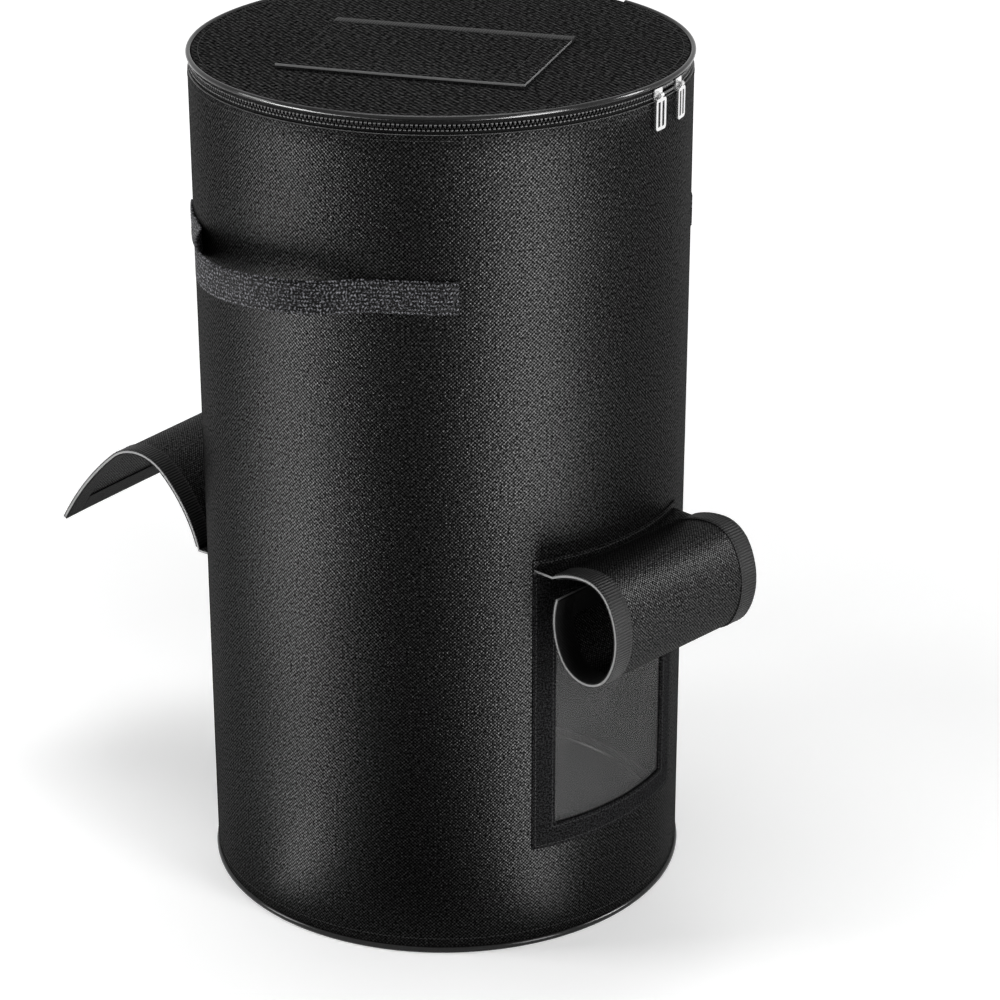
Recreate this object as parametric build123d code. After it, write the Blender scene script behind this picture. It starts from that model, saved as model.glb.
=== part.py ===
"""Fabric compost bin: a tall round fabric bag with a zipped lid, a windowed front door with a
rolled flap, a rear harvest hatch with a raised flap, and two webbing handles.

Millimetres. +Z is up, the origin is the centre of the floor, and azimuths run from the front (-Y)
towards +X, so azimuth 90 is the right-hand side.
"""

import os
from math import asin, atan2, cos, degrees, radians, sin

from build123d import *

# Bag
BAG_RADIUS = 225.0
FABRIC = 2.4
WALL_TOP = 786.0
SEAM_TAPE = 1.2
SEAM_TAPE_WIDTH = 24.0
SEAM_AZIMUTH = 180.0
FIT_GAP = 0.3
PIPING_SIDES = 8
PIPING_TURN = 180.0 / PIPING_SIDES

# Floor
FLOOR_PIPING_RADIUS = 3.1
FLOOR_BINDING_HEIGHT = 14.0

# Zip
ZIP_CLEARANCE = 0.4
ZIP_TAPE = 0.8
ZIP_TAPE_TUCK = 14.0
TOOTH_PITCH = 3.9
TOOTH_WIDTH = 3.2
TOOTH_LENGTH = 3.4
TOOTH_DEPTH = 3.0
TOOTH_ENGAGEMENT = 1.2
TOOTH_PARTING = 1.3
STOP_WIDTH = 4.0

# Sliders and pull tabs
LEFT_SLIDER_AZIMUTH = 55.0
RIGHT_SLIDER_AZIMUTH = 65.0
SLIDER_LENGTH = 13.0
SLIDER_PLATE = 1.5
SLIDER_SLOT = 3.8
SLIDER_HALF_HEIGHT = 5.4
SLIDER_LIP = 0.9
SLIDER_LIP_DEPTH = 1.0
SLIDER_WEDGE = 0.8
SLIDER_WEDGE_LENGTH = 3.0
BAIL_WIRE = 1.6
BAIL_SPAN = 9.0
BAIL_STAND_OFF = 2.4
TAB_WIDTH = 16.0
TAB_LENGTH = 28.0
TAB_THICKNESS = 1.8
TAB_EYE_WIDTH = 5.0
TAB_EYE_WALL = 1.0
TAB_NECK = 0.6
TAB_RAIL = 3.0
TAB_END_BAR = 3.0

# Lid
LID_PIPING_RADIUS = 2.4
LID_HINGE_AZIMUTH = 162.0
LID_HINGE_HALF_ANGLE = 30.0
LID_EDGE_RELIEF_ANGLE = 2.2
LID_FOLD_GAP = 0.6

# Feed flap on the lid
FEED_TURN = -18.0
FEED_WIDTH = 225.0
FEED_LENGTH = 145.0
FEED_FORWARD = 46.0
FEED_CORNER = 8.0
FEED_HEADER_WIDTH = 14.0

# Hook and loop fastening
STRIP = 1.2
STRIP_WIDTH = 23.0
STRIP_GAP = 0.2

# Doors: the window at the front right and the hatch behind on the left, cut to the same width
DOOR_AZIMUTH = 44.5
REAR_AZIMUTH = -126.5
DOOR_HALF_ANGLE = 24.5
HEADER = 1.6
HEADER_RISE = 9.0
HEADER_DROP = 5.0
BEAD_RADIUS = 1.5
BINDING = 0.9
BINDING_WIDTH = 20.0
TRIM_START = 4.0

# Front window and its flap, rolled into an upright oval
FRONT_HINGE_HEIGHT = 384.0
FRONT_FRAME_BOTTOM = 101.0
ROLL_END_RADIUS = 32.0
ROLL_SIDE_RADIUS = 68.0
ROLL_SIDE_TURN = 60.0
ROLL_LAP_TURN = 48.0
ROLL_RISE = 10.0
PANE = 0.8
PANE_OVERLAP = 12.0

# Rear hatch and its raised flap
REAR_HINGE_HEIGHT = 280.0
REAR_FRAME_BOTTOM = 18.0
REAR_HEADING = 75.0
REAR_LEG_RADIUS = 150.0
REAR_LEG_TURN = 32.0
REAR_CREST_RADIUS = 49.0
REAR_CREST_TURN = 83.0
REAR_DROOP_RADIUS = 310.0
REAR_DROOP_TURN = 20.0

# Handles
STRAP = 2.2
STRAP_WIDTH = 30.0
STRAP_HEIGHT = 644.0
STRAP_AZIMUTH = -43.0
STRAP_FREE_HALF_ANGLE = 29.5
STRAP_SEWN_ANGLE = 17.0
STRAP_BULGE = 38.0
STRAP_EASE_RADIUS = 60.0

# Places worked out from the sizes above
WALL_INNER = BAG_RADIUS - FABRIC
ZIP_MIDDLE = WALL_TOP + ZIP_CLEARANCE + SLIDER_HALF_HEIGHT
TAPE_OUTER = WALL_INNER
TAPE_INNER = TAPE_OUTER - ZIP_TAPE
TOOTH_MIDDLE = (TAPE_OUTER + TAPE_INNER) / 2
TAPE_EDGE = TOOTH_LENGTH - TOOTH_ENGAGEMENT / 2
NOTCH_EDGE = TAPE_EDGE + TOOTH_PARTING + 0.1
PIPING_BOTTOM = ZIP_MIDDLE + SLIDER_HALF_HEIGHT + ZIP_CLEARANCE
LID_PIPING_HEIGHT = PIPING_BOTTOM + LID_PIPING_RADIUS
LID_PIPING_CENTRE = BAG_RADIUS - LID_PIPING_RADIUS / 2
LID_BOTTOM = LID_PIPING_HEIGHT - FABRIC / 2
LID_TOP = LID_BOTTOM + FABRIC
LID_RADIUS = LID_PIPING_CENTRE - LID_PIPING_RADIUS - FIT_GAP / 2
FOLD_DISTANCE = BAG_RADIUS * cos(radians(LID_HINGE_HALF_ANGLE))
ZIP_START = LID_HINGE_AZIMUTH + LID_HINGE_HALF_ANGLE + LID_EDGE_RELIEF_ANGLE - 360.0
ZIP_END = LID_HINGE_AZIMUTH - LID_HINGE_HALF_ANGLE - LID_EDGE_RELIEF_ANGLE
STRIP_ANGLE = degrees(STRIP_WIDTH / BAG_RADIUS)
DOOR_WIDTH = 2 * BAG_RADIUS * sin(radians(DOOR_HALF_ANGLE))
HINGE_OUT = HEADER + FIT_GAP + BEAD_RADIUS
SLIDER_MIDDLE_ANGLE = (LEFT_SLIDER_AZIMUTH + RIGHT_SLIDER_AZIMUTH) / 2
SLIDER_HALF_ANGLE = degrees(SLIDER_LENGTH / 2 / BAG_RADIUS)
PARTED_HALF_ANGLE = (RIGHT_SLIDER_AZIMUTH - LEFT_SLIDER_AZIMUTH) / 2 + SLIDER_HALF_ANGLE


def sector(inner, outer, bottom, top, start, end):
    """A piece of upright ring between two azimuths."""
    place = Pos((inner + outer) / 2, (bottom + top) / 2)
    section = Plane.XZ * place * Rectangle(outer - inner, top - bottom)
    return Rot(0, 0, start - 90) * revolve(section, Axis.Z, end - start)


def piping(radius, height, bead, start, end):
    """A bead of piping that follows the bag between two azimuths, flat on top and underneath."""
    cord = RegularPolygon(bead, PIPING_SIDES, major_radius=False, rotation=PIPING_TURN)
    section = Plane.XZ * Pos(radius, height) * cord
    return Rot(0, 0, start - 90) * revolve(section, Axis.Z, end - start)


def outward_plane(azimuth, out=0.0, height=0.0):
    """A plane across the wall: x points out of the bag, y points up, z runs along the wall."""
    way = (sin(radians(azimuth)), -cos(radians(azimuth)), 0)
    along = (-cos(radians(azimuth)), -sin(radians(azimuth)), 0)
    reach = BAG_RADIUS + out
    return Plane((way[0] * reach, way[1] * reach, height), x_dir=way, z_dir=along)


def clockwise_arcs(start, heading, turns):
    """Arcs that join smoothly and all turn clockwise, as (centre, radius, start angle, turn)."""
    point, arcs = start, []
    for radius, turn in turns:
        side = radians(heading - 90)
        centre = (point[0] + radius * cos(side), point[1] + radius * sin(side))
        arcs.append((centre, radius, heading + 90, turn))
        heading -= turn
        side = radians(heading + 90)
        point = (centre[0] + radius * cos(side), centre[1] + radius * sin(side))
    return arcs


def arc_end(arcs):
    """The point where a run of arcs ends."""
    centre, radius, start, turn = arcs[-1]
    angle = radians(start - turn)
    return centre[0] + radius * cos(angle), centre[1] + radius * sin(angle)


def arc_length(arcs):
    return sum(radius * radians(turn) for _, radius, _, turn in arcs)


def stretch_of(arcs, first, last):
    """The part of a run of arcs between two lengths along it."""
    found, passed = [], 0.0
    for centre, radius, start, turn in arcs:
        length = radius * radians(turn)
        low, high = max(first - passed, 0.0), min(last - passed, length)
        if high > low:
            found.append((centre, radius, start - degrees(low / radius), degrees((high - low) / radius)))
        passed += length
    return found


def cloth_section(arcs, inner, outer):
    """The section of a layer of cloth that follows a run of arcs, between two offsets from it."""
    over = [CenterArc(centre, radius + outer, start, -turn) for centre, radius, start, turn in arcs]
    under = [CenterArc(centre, radius + inner, start, -turn) for centre, radius, start, turn in arcs]
    ends = [Line(over[0] @ 0, under[0] @ 0), Line(over[-1] @ 1, under[-1] @ 1)]
    return make_face(over + under + ends)


def along_wall(plane, section, near, far):
    """Sweeps a section along the wall between two distances from the door's middle."""
    return extrude(plane.offset(near) * section, far - near)


def doors():
    """Azimuth, frame bottom and hinge height of the window and the hatch."""
    return (
        (DOOR_AZIMUTH, FRONT_FRAME_BOTTOM, FRONT_HINGE_HEIGHT),
        (REAR_AZIMUTH, REAR_FRAME_BOTTOM, REAR_HINGE_HEIGHT),
    )


def wall_panel():
    """The wrap-round wall, with the window and the hatch cut out of it."""
    wall = sector(WALL_INNER, BAG_RADIUS, 2 * FLOOR_PIPING_RADIUS, WALL_TOP, 0, 360)
    for azimuth, bottom, hinge in doors():
        wall -= door_hole(azimuth, bottom, hinge, WALL_INNER - FABRIC, BAG_RADIUS + FABRIC)
    return wall


def door_hole(azimuth, bottom, hinge, inner, outer, grow=0.0):
    """The clear opening inside a door's frame, grown by a margin."""
    half = DOOR_HALF_ANGLE - STRIP_ANGLE + degrees(grow / BAG_RADIUS)
    low, high = bottom + STRIP_WIDTH - grow, hinge - HEADER_DROP - STRIP_WIDTH + grow
    return sector(inner, outer, low, high, azimuth - half, azimuth + half)


def side_seam():
    """The tape inside the bag that closes the wall into a tube."""
    half = degrees(SEAM_TAPE_WIDTH / 2 / BAG_RADIUS)
    bottom = FLOOR_BINDING_HEIGHT + FIT_GAP
    top = ZIP_MIDDLE - TAPE_EDGE - ZIP_TAPE_TUCK - FIT_GAP
    return sector(WALL_INNER - SEAM_TAPE, WALL_INNER, bottom, top, SEAM_AZIMUTH - half, SEAM_AZIMUTH + half)


def floor_centre():
    return BAG_RADIUS - FABRIC / 2


def floor_panel():
    """The round floor, which stands on the ground inside the piping."""
    radius = floor_centre() - FLOOR_PIPING_RADIUS - FIT_GAP / 2
    return extrude(Circle(radius), FABRIC)


def floor_piping():
    return piping(floor_centre(), FLOOR_PIPING_RADIUS, FLOOR_PIPING_RADIUS, 0, 360)


def floor_binding():
    """The tape that covers the floor seam inside the bag."""
    bottom = 2 * FLOOR_PIPING_RADIUS
    return sector(WALL_INNER - SEAM_TAPE, WALL_INNER, bottom, FLOOR_BINDING_HEIGHT, 0, 360)


def zip_tape(side):
    """A zip tape, below the teeth on the wall (-1) or above them on the lid (+1)."""
    inner_edge = ZIP_MIDDLE + side * TAPE_EDGE
    sewn_edge = inner_edge - ZIP_TAPE_TUCK if side < 0 else PIPING_BOTTOM + FIT_GAP / 2
    low, high = sorted((inner_edge, sewn_edge))
    tape = sector(TAPE_INNER, TAPE_OUTER, low, high, ZIP_START, ZIP_END)
    low, high = sorted((inner_edge, ZIP_MIDDLE + side * NOTCH_EDGE))
    half = PARTED_HALF_ANGLE + degrees(TOOTH_PITCH / BAG_RADIUS)
    start, end = SLIDER_MIDDLE_ANGLE - half, SLIDER_MIDDLE_ANGLE + half
    notch = sector(TAPE_INNER - FABRIC, TAPE_OUTER + FABRIC, low, high, start, end)
    return tape - notch


def parting(azimuth):
    """How far a tooth stands back from its zipped place: all the way between the sliders' heads."""
    into = PARTED_HALF_ANGLE - abs(azimuth - SLIDER_MIDDLE_ANGLE)
    return TOOTH_PARTING * min(max(into / SLIDER_HALF_ANGLE, 0.0), 1.0)


def zip_teeth(side):
    """One row of moulded teeth, pointed where they mesh. The lid's row stands half a pitch along."""
    step = degrees(TOOTH_PITCH / TOOTH_MIDDLE)
    clear = degrees(STOP_WIDTH / BAG_RADIUS) + step
    count = int((ZIP_END - ZIP_START - 2 * clear) / step)
    first = ZIP_START + clear + (step / 2 if side > 0 else 0.0)
    middle = TOOTH_LENGTH / 2 - TOOTH_ENGAGEMENT / 2
    base, tip = side * TOOTH_LENGTH / 2, -side * TOOTH_LENGTH / 2
    outline = Polygon((-TOOTH_WIDTH / 2, base), (TOOTH_WIDTH / 2, base), (0, tip), align=None)
    tooth = extrude(Plane.XZ * outline, TOOTH_DEPTH / 2, both=True)
    row = []
    for number in range(count):
        azimuth = first + number * step
        height = ZIP_MIDDLE + side * (middle + parting(azimuth))
        row.append(Rot(0, 0, azimuth) * Pos(0, -TOOTH_MIDDLE, height) * tooth)
    return Compound(children=row)


def zip_stops():
    """The two metal stops that end the sliders' run."""
    width = degrees(STOP_WIDTH / BAG_RADIUS)
    bottom, top = ZIP_MIDDLE - TAPE_EDGE, ZIP_MIDDLE + TAPE_EDGE - FIT_GAP
    inner, outer = TOOTH_MIDDLE - TOOTH_DEPTH / 2, TOOTH_MIDDLE + TOOTH_DEPTH / 2
    places = (ZIP_START, ZIP_END - width)
    return Compound(children=[sector(inner, outer, bottom, top, place, place + width) for place in places])


def slider(azimuth, head):
    """A slider: two plates with lips along both edges, joined by the wedge that parts the teeth.

    head is +1 where the wedge faces rising azimuths and -1 where it faces falling ones.
    """
    across = Rot(0, 0, azimuth)
    height = 2 * SLIDER_HALF_HEIGHT
    offset = SLIDER_SLOT / 2 + SLIDER_PLATE / 2
    plate = fillet(Box(SLIDER_LENGTH, SLIDER_PLATE, height).edges().filter_by(Axis.Y), SLIDER_PLATE)
    lip = Box(SLIDER_LENGTH - 3 * SLIDER_PLATE, SLIDER_LIP_DEPTH, SLIDER_LIP)
    body = None
    for side in (-1, 1):
        half = Pos(0, side * offset, 0) * plate
        for edge in (-1, 1):
            reach = side * (SLIDER_SLOT - SLIDER_LIP_DEPTH) / 2
            half += Pos(0, reach, edge * (SLIDER_HALF_HEIGHT - SLIDER_LIP / 2)) * lip
        body = half if body is None else body + half
    wedge_middle = head * (SLIDER_LENGTH - SLIDER_WEDGE_LENGTH) / 2
    body += Pos(wedge_middle, 0, 0) * Box(SLIDER_WEDGE_LENGTH, SLIDER_SLOT + SLIDER_PLATE, SLIDER_WEDGE)
    return across * Pos(0, -TOOTH_MIDDLE, ZIP_MIDDLE) * body


def slider_face():
    """Distance from the bag's axis to the slider's outer face."""
    return TOOTH_MIDDLE + SLIDER_SLOT / 2 + SLIDER_PLATE


def tab_axis():
    """Distance from the bag's axis to the bar that a pull tab swings on."""
    return slider_face() + BAIL_STAND_OFF


def bail(azimuth):
    """The wire staple on a slider's face: a cross bar on two posts."""
    staple = Rot(0, 90, 0) * Cylinder(BAIL_WIRE / 2, BAIL_SPAN - BAIL_WIRE)
    ear = Box(BAIL_WIRE, BAIL_STAND_OFF + BAIL_WIRE / 2, BAIL_WIRE)
    for side in (-1, 1):
        staple += Pos(side * (BAIL_SPAN - BAIL_WIRE) / 2, (BAIL_STAND_OFF - BAIL_WIRE / 2) / 2, 0) * ear
    return Rot(0, 0, azimuth) * Pos(0, -tab_axis(), ZIP_MIDDLE) * staple


def pull_tab(azimuth):
    """A flat pull tab of three rails that hangs from its eye on the bail."""
    eye_radius = BAIL_WIRE / 2 + FIT_GAP
    rim = eye_radius + TAB_EYE_WALL
    top = -(rim + TAB_NECK)
    blade = Pos(0, top - TAB_LENGTH / 2) * RectangleRounded(TAB_WIDTH, TAB_LENGTH, TAB_RAIL)
    slot_width = (TAB_WIDTH - 3 * TAB_RAIL) / 2
    slot_length = TAB_LENGTH - 2 * TAB_END_BAR
    for side in (-1, 1):
        place = Pos(side * (TAB_RAIL + slot_width) / 2, top - TAB_LENGTH / 2)
        blade -= place * Rectangle(slot_width, slot_length)
    blade = extrude(Plane.XZ * blade, TAB_THICKNESS / 2, both=True)
    eye = Rot(0, 90, 0) * Cylinder(rim, TAB_EYE_WIDTH)
    neck = Pos(0, 0, top / 2 - 0.5) * Box(TAB_EYE_WIDTH, TAB_THICKNESS, -top + 1.0)
    bore = Rot(0, 90, 0) * Cylinder(eye_radius, 2 * TAB_EYE_WIDTH)
    tab = blade + neck + eye - bore
    return Rot(0, 0, azimuth) * Pos(0, -tab_axis(), ZIP_MIDDLE) * tab


def beyond_fold(gap):
    """Everything on the hinge side of the lid's fold line, less a gap."""
    size = 4 * BAG_RADIUS
    block = Pos(0, -(FOLD_DISTANCE + gap + size / 2), 0) * Box(size, size, size)
    return Rot(0, 0, LID_HINGE_AZIMUTH) * Pos(0, 0, LID_TOP) * block


def lid_disc():
    return Pos(0, 0, LID_BOTTOM) * extrude(Circle(LID_RADIUS), FABRIC)


def lid_panel():
    """The round lid up to its fold line, with the feed hole cut in it."""
    outline = Rectangle(FEED_WIDTH - 2 * STRIP_WIDTH, FEED_LENGTH - 2 * STRIP_WIDTH)
    hole = extrude(outline, 3 * FABRIC, both=True)
    return lid_disc() - beyond_fold(0.0) - feed_place(LID_BOTTOM) * hole


def lid_hinge_panel():
    """The part of the lid behind the fold line, which stays sewn to the wall."""
    return lid_disc() & beyond_fold(LID_FOLD_GAP)


def lid_piping():
    return piping(LID_PIPING_CENTRE, LID_PIPING_HEIGHT, LID_PIPING_RADIUS, ZIP_START, ZIP_END)


def lid_hinge_piping():
    half = LID_HINGE_HALF_ANGLE - LID_EDGE_RELIEF_ANGLE
    start, end = LID_HINGE_AZIMUTH - half, LID_HINGE_AZIMUTH + half
    return piping(LID_PIPING_CENTRE, LID_PIPING_HEIGHT, LID_PIPING_RADIUS, start, end)


def lid_hinge_gusset():
    """The strip of wall between the two ends of the zip that carries the lid."""
    half = LID_HINGE_HALF_ANGLE - LID_EDGE_RELIEF_ANGLE
    bottom, top = ZIP_MIDDLE - TAPE_EDGE - ZIP_TAPE_TUCK, PIPING_BOTTOM + FIT_GAP / 2
    start, end = LID_HINGE_AZIMUTH - half, LID_HINGE_AZIMUTH + half
    return sector(TAPE_INNER, TAPE_OUTER, bottom, top, start, end)


def feed_place(height):
    """The feed flap's frame on the lid: x across the flap, y towards the lid's hinge."""
    return Rot(0, 0, FEED_TURN) * Pos(0, -FEED_FORWARD, height)


def u_strips(width, length, thickness):
    """Two side strips and a front strip of hook or loop tape, butted at the corners."""
    side = extrude(Rectangle(STRIP_WIDTH, length), thickness)
    front = extrude(Rectangle(width - 2 * STRIP_WIDTH, STRIP_WIDTH), thickness)
    across = (width - STRIP_WIDTH) / 2
    strips = [Pos(-across, 0, 0) * side, Pos(across, 0, 0) * side]
    return strips + [Pos(0, -(length - STRIP_WIDTH) / 2, 0) * front]


def feed_hinge():
    """Distance behind the feed flap's middle, and height, of its hinge line."""
    return FEED_LENGTH / 2, LID_TOP + 2 * STRIP + STRIP_GAP + FABRIC / 2


def feed_strip_length():
    return FEED_LENGTH - FABRIC / 2 - FIT_GAP


def feed_loop_strips():
    place = feed_place(LID_TOP) * Pos(0, -(FEED_LENGTH - feed_strip_length()) / 2, 0)
    return Compound(children=[place * strip for strip in u_strips(FEED_WIDTH, feed_strip_length(), STRIP)])


def feed_hook_strips():
    place = feed_place(LID_TOP + STRIP + STRIP_GAP) * Pos(0, -(FEED_LENGTH - feed_strip_length()) / 2, 0)
    return Compound(children=[place * strip for strip in u_strips(FEED_WIDTH, feed_strip_length(), STRIP)])


def feed_flap():
    """The flap over the feed hole, with a rolled edge where it is sewn to its header."""
    back, height = feed_hinge()
    outline = Rectangle(FEED_WIDTH, FEED_LENGTH)
    outline = fillet(outline.vertices().sort_by(Axis.Y)[:2], FEED_CORNER)
    panel = extrude(outline, FABRIC / 2, both=True)
    roll = Pos(0, back, 0) * Rot(0, 90, 0) * Cylinder(FABRIC / 2, FEED_WIDTH)
    return feed_place(height) * (panel + roll)


def feed_header():
    """The strip behind the feed flap that sews it to the lid."""
    back, height = feed_hinge()
    middle = back + FABRIC / 2 + FIT_GAP + FEED_HEADER_WIDTH / 2
    strip = extrude(Rectangle(FEED_WIDTH, FEED_HEADER_WIDTH), height + FABRIC / 2 - LID_TOP)
    return feed_place(LID_TOP) * Pos(0, middle, 0) * strip


def frame_strips(azimuth, bottom, hinge):
    """Loop tape on the wall round a door: two sides, the sill and the head under the hinge."""
    inner, outer = BAG_RADIUS, BAG_RADIUS + STRIP
    top = hinge - HEADER_DROP
    start, end = azimuth - DOOR_HALF_ANGLE, azimuth + DOOR_HALF_ANGLE
    rise = bottom + STRIP_WIDTH
    left = sector(inner, outer, rise, top, start, start + STRIP_ANGLE)
    right = sector(inner, outer, rise, top, end - STRIP_ANGLE, end)
    sill = sector(inner, outer, bottom, rise, start, end)
    head = sector(inner, outer, top - STRIP_WIDTH, top, start + STRIP_ANGLE, end - STRIP_ANGLE)
    return Compound(children=[left, right, sill, head])


def flap_header(azimuth, hinge):
    """The band that sews a door flap to the wall, with the shelf that runs out to its straight hinge."""
    start, end = azimuth - DOOR_HALF_ANGLE, azimuth + DOOR_HALF_ANGLE
    band = sector(BAG_RADIUS, BAG_RADIUS + HEADER, hinge - HEADER_DROP, hinge + HEADER_RISE, start, end)
    shelf = sector(BAG_RADIUS, BAG_RADIUS * 2, hinge - FABRIC / 2, hinge + FABRIC / 2, start, end)
    reach = BAG_RADIUS + HEADER
    size = 4 * BAG_RADIUS
    outside = Rot(0, 0, azimuth) * Pos(0, -(reach + size / 2), hinge) * Box(size, size, size)
    return band + (shelf - outside)


def front_arcs():
    """The rolled flap's line: outwards and upwards from its hinge, then round the oval."""
    half_side = ROLL_SIDE_TURN / 2
    half_depth = ROLL_SIDE_RADIUS - (ROLL_SIDE_RADIUS - ROLL_END_RADIUS) * cos(radians(half_side))
    reach = half_depth + FABRIC / 2 + HEADER + FIT_GAP + BINDING - HINGE_OUT + FABRIC / 2
    lead = (reach * reach + ROLL_RISE * ROLL_RISE) / (2 * ROLL_RISE)
    climb = degrees(asin(reach / lead))
    half_end = (180 - ROLL_SIDE_TURN) / 2
    turns = (
        (lead, climb),
        (ROLL_END_RADIUS, half_end),
        (ROLL_SIDE_RADIUS, ROLL_SIDE_TURN),
        (ROLL_END_RADIUS, 2 * half_end),
        (ROLL_SIDE_RADIUS, ROLL_LAP_TURN),
    )
    return clockwise_arcs((HINGE_OUT, 0), climb, turns)


def rear_arcs():
    """The raised flap's line: up from its hinge, over a crest and down again."""
    turns = (
        (REAR_LEG_RADIUS, REAR_LEG_TURN),
        (REAR_CREST_RADIUS, REAR_CREST_TURN),
        (REAR_DROOP_RADIUS, REAR_DROOP_TURN),
    )
    return clockwise_arcs((HINGE_OUT, 0), REAR_HEADING, turns)


def door_flap(azimuth, hinge, arcs):
    """A flap of cloth with a rolled edge on its hinge line."""
    plane = outward_plane(azimuth, 0, hinge)
    sheet = along_wall(plane, cloth_section(arcs, -FABRIC / 2, FABRIC / 2), -DOOR_WIDTH / 2, DOOR_WIDTH / 2)
    bead = along_wall(plane, Pos(HINGE_OUT, 0) * Circle(BEAD_RADIUS), -DOOR_WIDTH / 2, DOOR_WIDTH / 2)
    return sheet + bead


def flap_trim(azimuth, hinge, arcs, inner, outer, width):
    """Tape sewn along a flap's two sides and its free end, between two offsets from its middle layer."""
    plane = outward_plane(azimuth, 0, hinge)
    length = arc_length(arcs)
    side = cloth_section(stretch_of(arcs, TRIM_START, length), inner, outer)
    end = cloth_section(stretch_of(arcs, length - width, length), inner, outer)
    edge = DOOR_WIDTH / 2
    return Compound(
        children=[
            along_wall(plane, side, -edge, width - edge),
            along_wall(plane, side, edge - width, edge),
            along_wall(plane, end, width - edge, edge - width),
        ]
    )


def flap_binding(azimuth, hinge, arcs):
    """Binding tape on a flap's outer face."""
    return flap_trim(azimuth, hinge, arcs, FABRIC / 2, FABRIC / 2 + BINDING, BINDING_WIDTH)


def flap_hooks(azimuth, hinge, arcs):
    """Hook tape on a flap's inner face."""
    return flap_trim(azimuth, hinge, arcs, -FABRIC / 2 - STRIP, -FABRIC / 2, STRIP_WIDTH)


def window_pane():
    """The clear film behind the front window."""
    return door_hole(
        DOOR_AZIMUTH, FRONT_FRAME_BOTTOM, FRONT_HINGE_HEIGHT, WALL_INNER - PANE, WALL_INNER, PANE_OVERLAP
    )


def window_binding():
    """The tape that sews the film to the inside of the wall."""
    inner, outer = WALL_INNER - PANE - SEAM_TAPE, WALL_INNER - PANE
    place = (DOOR_AZIMUTH, FRONT_FRAME_BOTTOM, FRONT_HINGE_HEIGHT)
    return door_hole(*place, inner, outer, PANE_OVERLAP) - door_hole(*place, inner - FABRIC, outer + FABRIC)


def handle(azimuth):
    """A webbing strap sewn flat to the wall at both ends and standing off it between them."""
    seat = BAG_RADIUS + STRAP / 2
    crest = seat + STRAP_BULGE
    ease = seat + STRAP_EASE_RADIUS
    span = STRAP_EASE_RADIUS + crest
    half = radians(STRAP_FREE_HALF_ANGLE)
    centre = (ease * ease - span * span) / (2 * (ease * cos(half) - span))
    bow = crest - centre
    # The easing arc meets the bow on the line through both their centres.
    ease_x, ease_y = ease * sin(half), -ease * cos(half)
    bow_half = degrees(atan2(ease_x, -(ease_y + centre)))
    ease_turn = bow_half - STRAP_FREE_HALF_ANGLE
    faces = []
    for offset in (-STRAP / 2, STRAP / 2):
        edges = [CenterArc((0, -centre), bow + offset, -90 - bow_half, 2 * bow_half)]
        for side in (-1, 1):
            easing = CenterArc(
                (side * ease_x, ease_y),
                STRAP_EASE_RADIUS - offset,
                90 + side * STRAP_FREE_HALF_ANGLE,
                side * ease_turn,
            )
            sewn_start = -90 + side * STRAP_FREE_HALF_ANGLE
            sewn = CenterArc((0, 0), seat + offset, sewn_start, side * STRAP_SEWN_ANGLE)
            edges += [easing, sewn]
        faces.append(edges)
    ends = [Line(faces[0][place] @ 1, faces[1][place] @ 1) for place in (2, 4)]
    section = make_face(faces[0] + faces[1] + ends)
    strap = extrude(section, STRAP_WIDTH / 2, both=True)
    return Rot(0, 0, azimuth) * Pos(0, 0, STRAP_HEIGHT) * strap


front = (DOOR_AZIMUTH, FRONT_HINGE_HEIGHT, front_arcs())
rear = (REAR_AZIMUTH, REAR_HINGE_HEIGHT, rear_arcs())

pieces = {
    "wall_panel": wall_panel(),
    "side_seam_tape": side_seam(),
    "floor_panel": floor_panel(),
    "floor_piping": floor_piping(),
    "floor_seam_binding": floor_binding(),
    "zip_tape_lower": zip_tape(-1),
    "zip_tape_upper": zip_tape(1),
    "zip_teeth_lower": zip_teeth(-1),
    "zip_teeth_upper": zip_teeth(1),
    "zip_end_stops": zip_stops(),
    "left_slider": slider(LEFT_SLIDER_AZIMUTH, 1),
    "left_slider_bail": bail(LEFT_SLIDER_AZIMUTH),
    "left_pull_tab": pull_tab(LEFT_SLIDER_AZIMUTH),
    "right_slider": slider(RIGHT_SLIDER_AZIMUTH, -1),
    "right_slider_bail": bail(RIGHT_SLIDER_AZIMUTH),
    "right_pull_tab": pull_tab(RIGHT_SLIDER_AZIMUTH),
    "lid_panel": lid_panel(),
    "lid_piping": lid_piping(),
    "lid_hinge_panel": lid_hinge_panel(),
    "lid_hinge_piping": lid_hinge_piping(),
    "lid_hinge_gusset": lid_hinge_gusset(),
    "feed_loop_strips": feed_loop_strips(),
    "feed_hook_strips": feed_hook_strips(),
    "feed_flap": feed_flap(),
    "feed_flap_header": feed_header(),
    "front_loop_strips": frame_strips(DOOR_AZIMUTH, FRONT_FRAME_BOTTOM, FRONT_HINGE_HEIGHT),
    "front_flap_header": flap_header(DOOR_AZIMUTH, FRONT_HINGE_HEIGHT),
    "front_flap": door_flap(*front),
    "front_flap_binding": flap_binding(*front),
    "front_hook_strips": flap_hooks(*front),
    "window_pane": window_pane(),
    "window_binding": window_binding(),
    "rear_loop_strips": frame_strips(REAR_AZIMUTH, REAR_FRAME_BOTTOM, REAR_HINGE_HEIGHT),
    "rear_flap_header": flap_header(REAR_AZIMUTH, REAR_HINGE_HEIGHT),
    "rear_flap": door_flap(*rear),
    "rear_flap_binding": flap_binding(*rear),
    "rear_hook_strips": flap_hooks(*rear),
    "left_handle": handle(STRAP_AZIMUTH),
    "right_handle": handle(STRAP_AZIMUTH + 180),
}

os.makedirs("parts", exist_ok=True)
for name, shape in pieces.items():
    export_step(shape, f"parts/{name}.step")

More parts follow.
